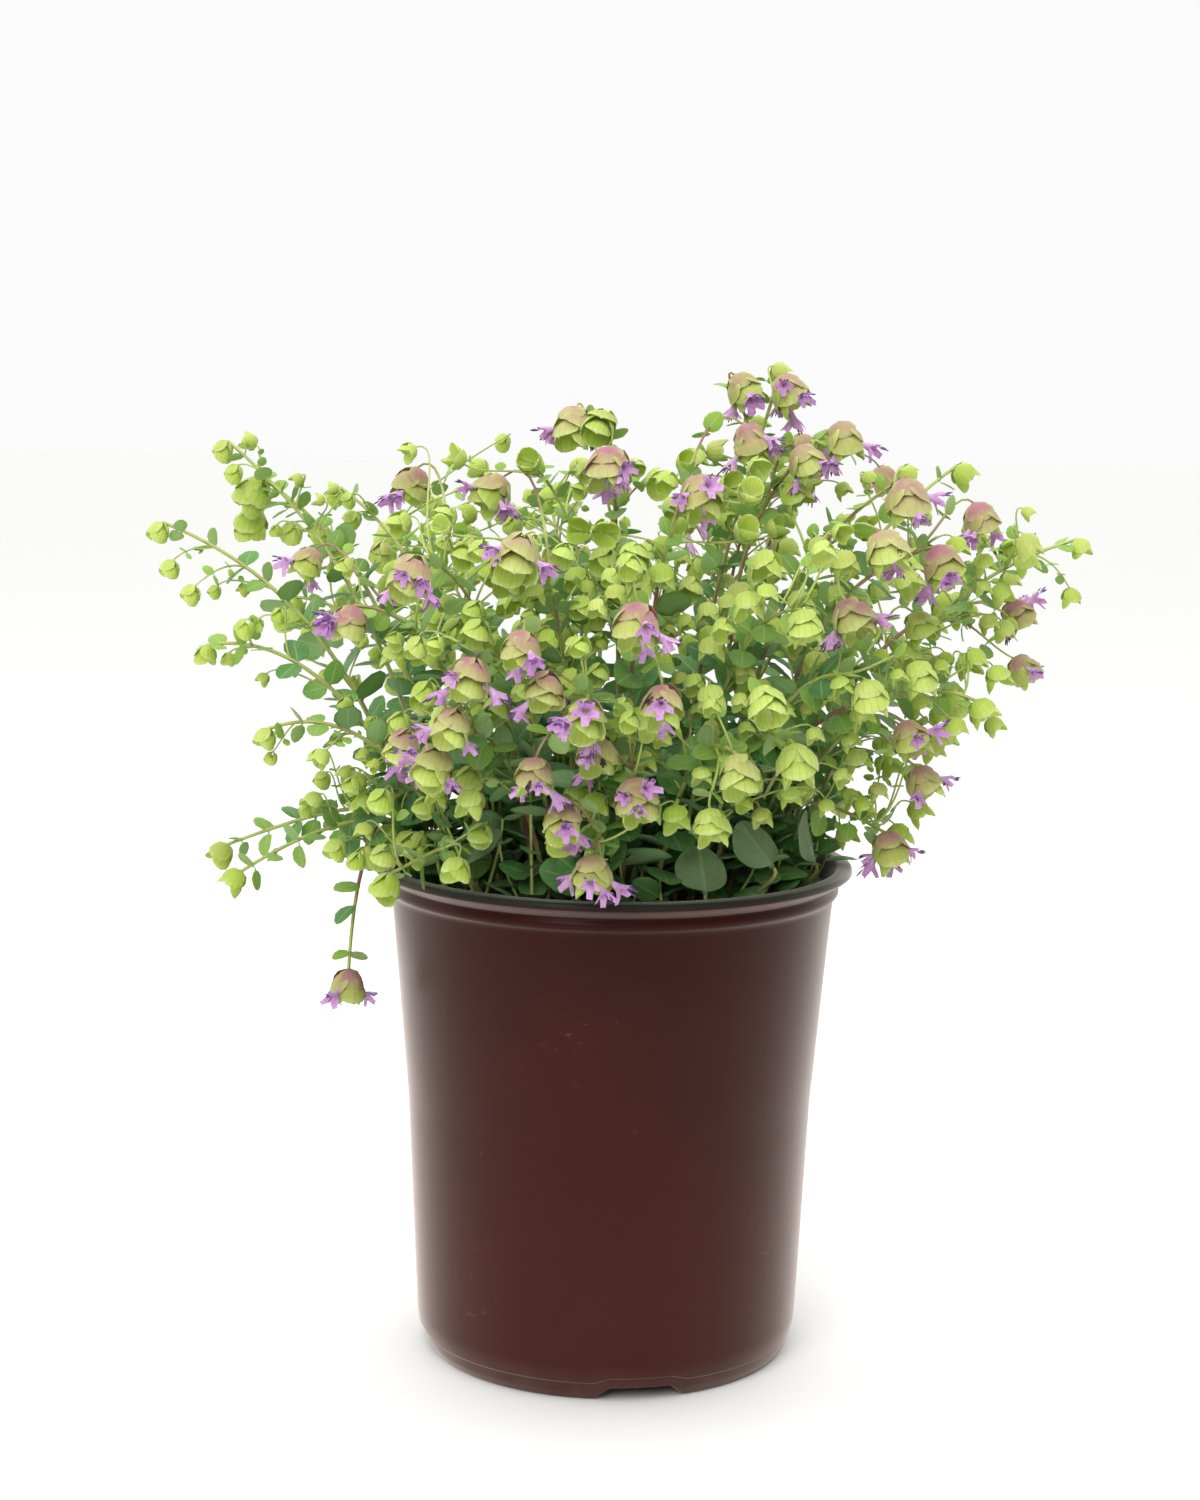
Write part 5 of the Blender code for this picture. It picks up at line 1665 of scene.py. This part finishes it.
def corolla_surface(flowers, rng):
    """Trumpets with five lobes: two up, held forward as a hood, and three down, turned back.

    A tube widens to the throat by a profile. From there a lobe runs outwards by a share s of its
    length. Its radius grows evenly with s, faster below than above, and its place along the flower
    grows with s less the square of s times how far down it points. The length is cut in between the
    lobes by the sine of five half turns, and differs a little from lobe to lobe.
    """
    start, along, up, sideways, size = (a[:, None, None] for a in flower_frames(flowers))
    count = len(flowers)
    age = of_each(flowers, "age")
    steps = np.arange(FLOWER_COLUMNS) * 2 * math.pi / FLOWER_COLUMNS
    turns = (steps + 0.5 * math.pi)[None, None]
    lobe = np.abs(np.sin(0.5 * LOBES * steps)) ** 0.6
    which = (np.arange(FLOWER_COLUMNS) * LOBES) // FLOWER_COLUMNS
    length = rng.uniform(0.78, 1.15, (count, 1, LOBES))[:, :, which]
    extent = length * (1 - LOBE_CUT * (1 - lobe)) + rng.normal(0, 0.05, (count, 1, FLOWER_COLUMNS))
    share = np.array(LIMB_SHARES)[None, :, None] * extent * (1 - 0.8 * age)
    down = np.maximum(-np.sin(turns), 0)
    flat = np.abs(np.cos(turns))
    ones = np.ones((count, 1, FLOWER_COLUMNS))
    tube_out = np.array(TUBE_RADII)[None, :, None] * (1 - 0.35 * age) * ones
    limb_out = tube_out[:, -1:] + share * (1.5 + 2.3 * down + 1.3 * flat)
    tube_on = np.array(TUBE_PLACES)[None, :, None] * ones
    limb_on = tube_on[:, -1:] + share * (0.36 - 0.02 * down) - share**2 * 0.20 * down
    limb_on = limb_on + rng.normal(0, 0.02, limb_on.shape)
    reach = np.concatenate([tube_out, limb_out], axis=1) * size
    ahead = np.concatenate([tube_on, limb_on], axis=1) * FLOWER_LENGTH * size
    spoke = np.cos(turns)[..., None] * sideways + np.sin(turns)[..., None] * up
    sag = np.array((0, 0, -0.02)) * (ahead**2 * (1 + 3 * age))[..., None]
    middle = start + ahead[..., None] * along + reach[..., None] * spoke + sag
    values = {"tone": rng.uniform(0, 1, (count, 1, 1)), "age": age}
    values["along"] = np.array((*TUBE_PLACES, 0.82, 1.0))[None, :, None]
    return sheet_surface(middle, 0.16, values, wrapped=True)


def stamen_surface(flowers, rng):
    """Fine threads out of each mouth, which spread a little and end in a swollen anther."""
    start, along, up, sideways, size = flower_frames(flowers)
    share = np.linspace(0, 1, STAMEN_ROWS)
    paths = []
    for number in range(STAMENS):
        lean = (number - 1.5) * 0.16 + rng.normal(0, 0.05, len(flowers))
        lift = 0.14 + rng.normal(0, 0.08, len(flowers))
        reach = FLOWER_LENGTH * size * rng.uniform(0.55, 0.80, len(flowers))
        way = along + lean[:, None] * sideways + lift[:, None] * up
        first = start + 0.5 * FLOWER_LENGTH * size[:, None] * along
        droop = 0.7 * size[:, None, None] * (share**2)[None, :, None] * np.array((0, 0, -1.0))
        paths.append(first[:, None] + reach[:, None, None] * share[None, :, None] * way[:, None] + droop)
    radii = np.array((0.11, 0.10, 0.09, 0.09, 0.30, 0.16))
    points, faces = tube_surface(np.concatenate(paths), radii, 4, 0.0)
    tip = np.tile(np.repeat(np.array((0, 0, 0, 0, 1.0, 1.0)), 4), STAMENS * len(flowers))
    return points, faces, {"tone": tip}


def thin_petal():
    """A petal's soft matt skin that light comes through: mauve, paler in the throat, with painted shade for
    its folds in darker streaks.
    """
    material, tree, shader = new_material("mauve_petal", Roughness=0.5, IOR=1.37, Sheen_Weight=0.2)
    place, tone, along, age = read_values(tree, "tone", "along", "age")
    streak = noise(tree, place, 1.1, 3)
    # Painted shade: darker streaks of noise stand for the shade in the petals' folds.
    folds = ramp(tree, streak, (0.45, 0.75), (0, 0.7))
    mauve = blend(tree, folds, blend(tree, tone, *PETAL_MAUVE), PETAL_FOLD_SHADE)
    pale = blend(tree, ramp(tree, along, (0.65, 0.3), (0, 0.7)), mauve, PETAL_THROAT)
    colour = blend(tree, age, pale, WITHERED)
    paint(tree, shader, colour)
    emboss(tree, shader, streak, 0.3, 0.15)
    with_light_through(tree, shader, colour, 0.32)
    return material


def stamen_skin():
    """Pale lilac threads with dull dark purple anthers."""
    material, tree, shader = new_material("stamen_thread", Roughness=0.55, IOR=1.4)
    tip = put(tree, "Attribute", attribute_name="tone").outputs["Fac"]
    paint(tree, shader, blend(tree, tip, *STAMEN_LILAC))
    return material


petal = thin_petal()
thread = stamen_skin()
flower_rng = np.random.default_rng(SEED + 4)
for side in SIDES:
    side_stems = on_side(side)
    flowers = flower_list(side_stems, flower_rng)
    fresh = [flower for flower in flowers if flower["age"] < 0.5]
    surface = corolla_surface(flowers, flower_rng)
    corollas = new_piece(f"corollas_{side}", *surface[:2], [petal], surface[2])
    surface = stamen_surface(fresh, flower_rng)
    stamens = new_piece(f"stamens_{side}", *surface[:2], [thread], surface[2])
    for piece in (corollas, stamens):
        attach(piece, "root")
        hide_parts(*node_names(side_stems))
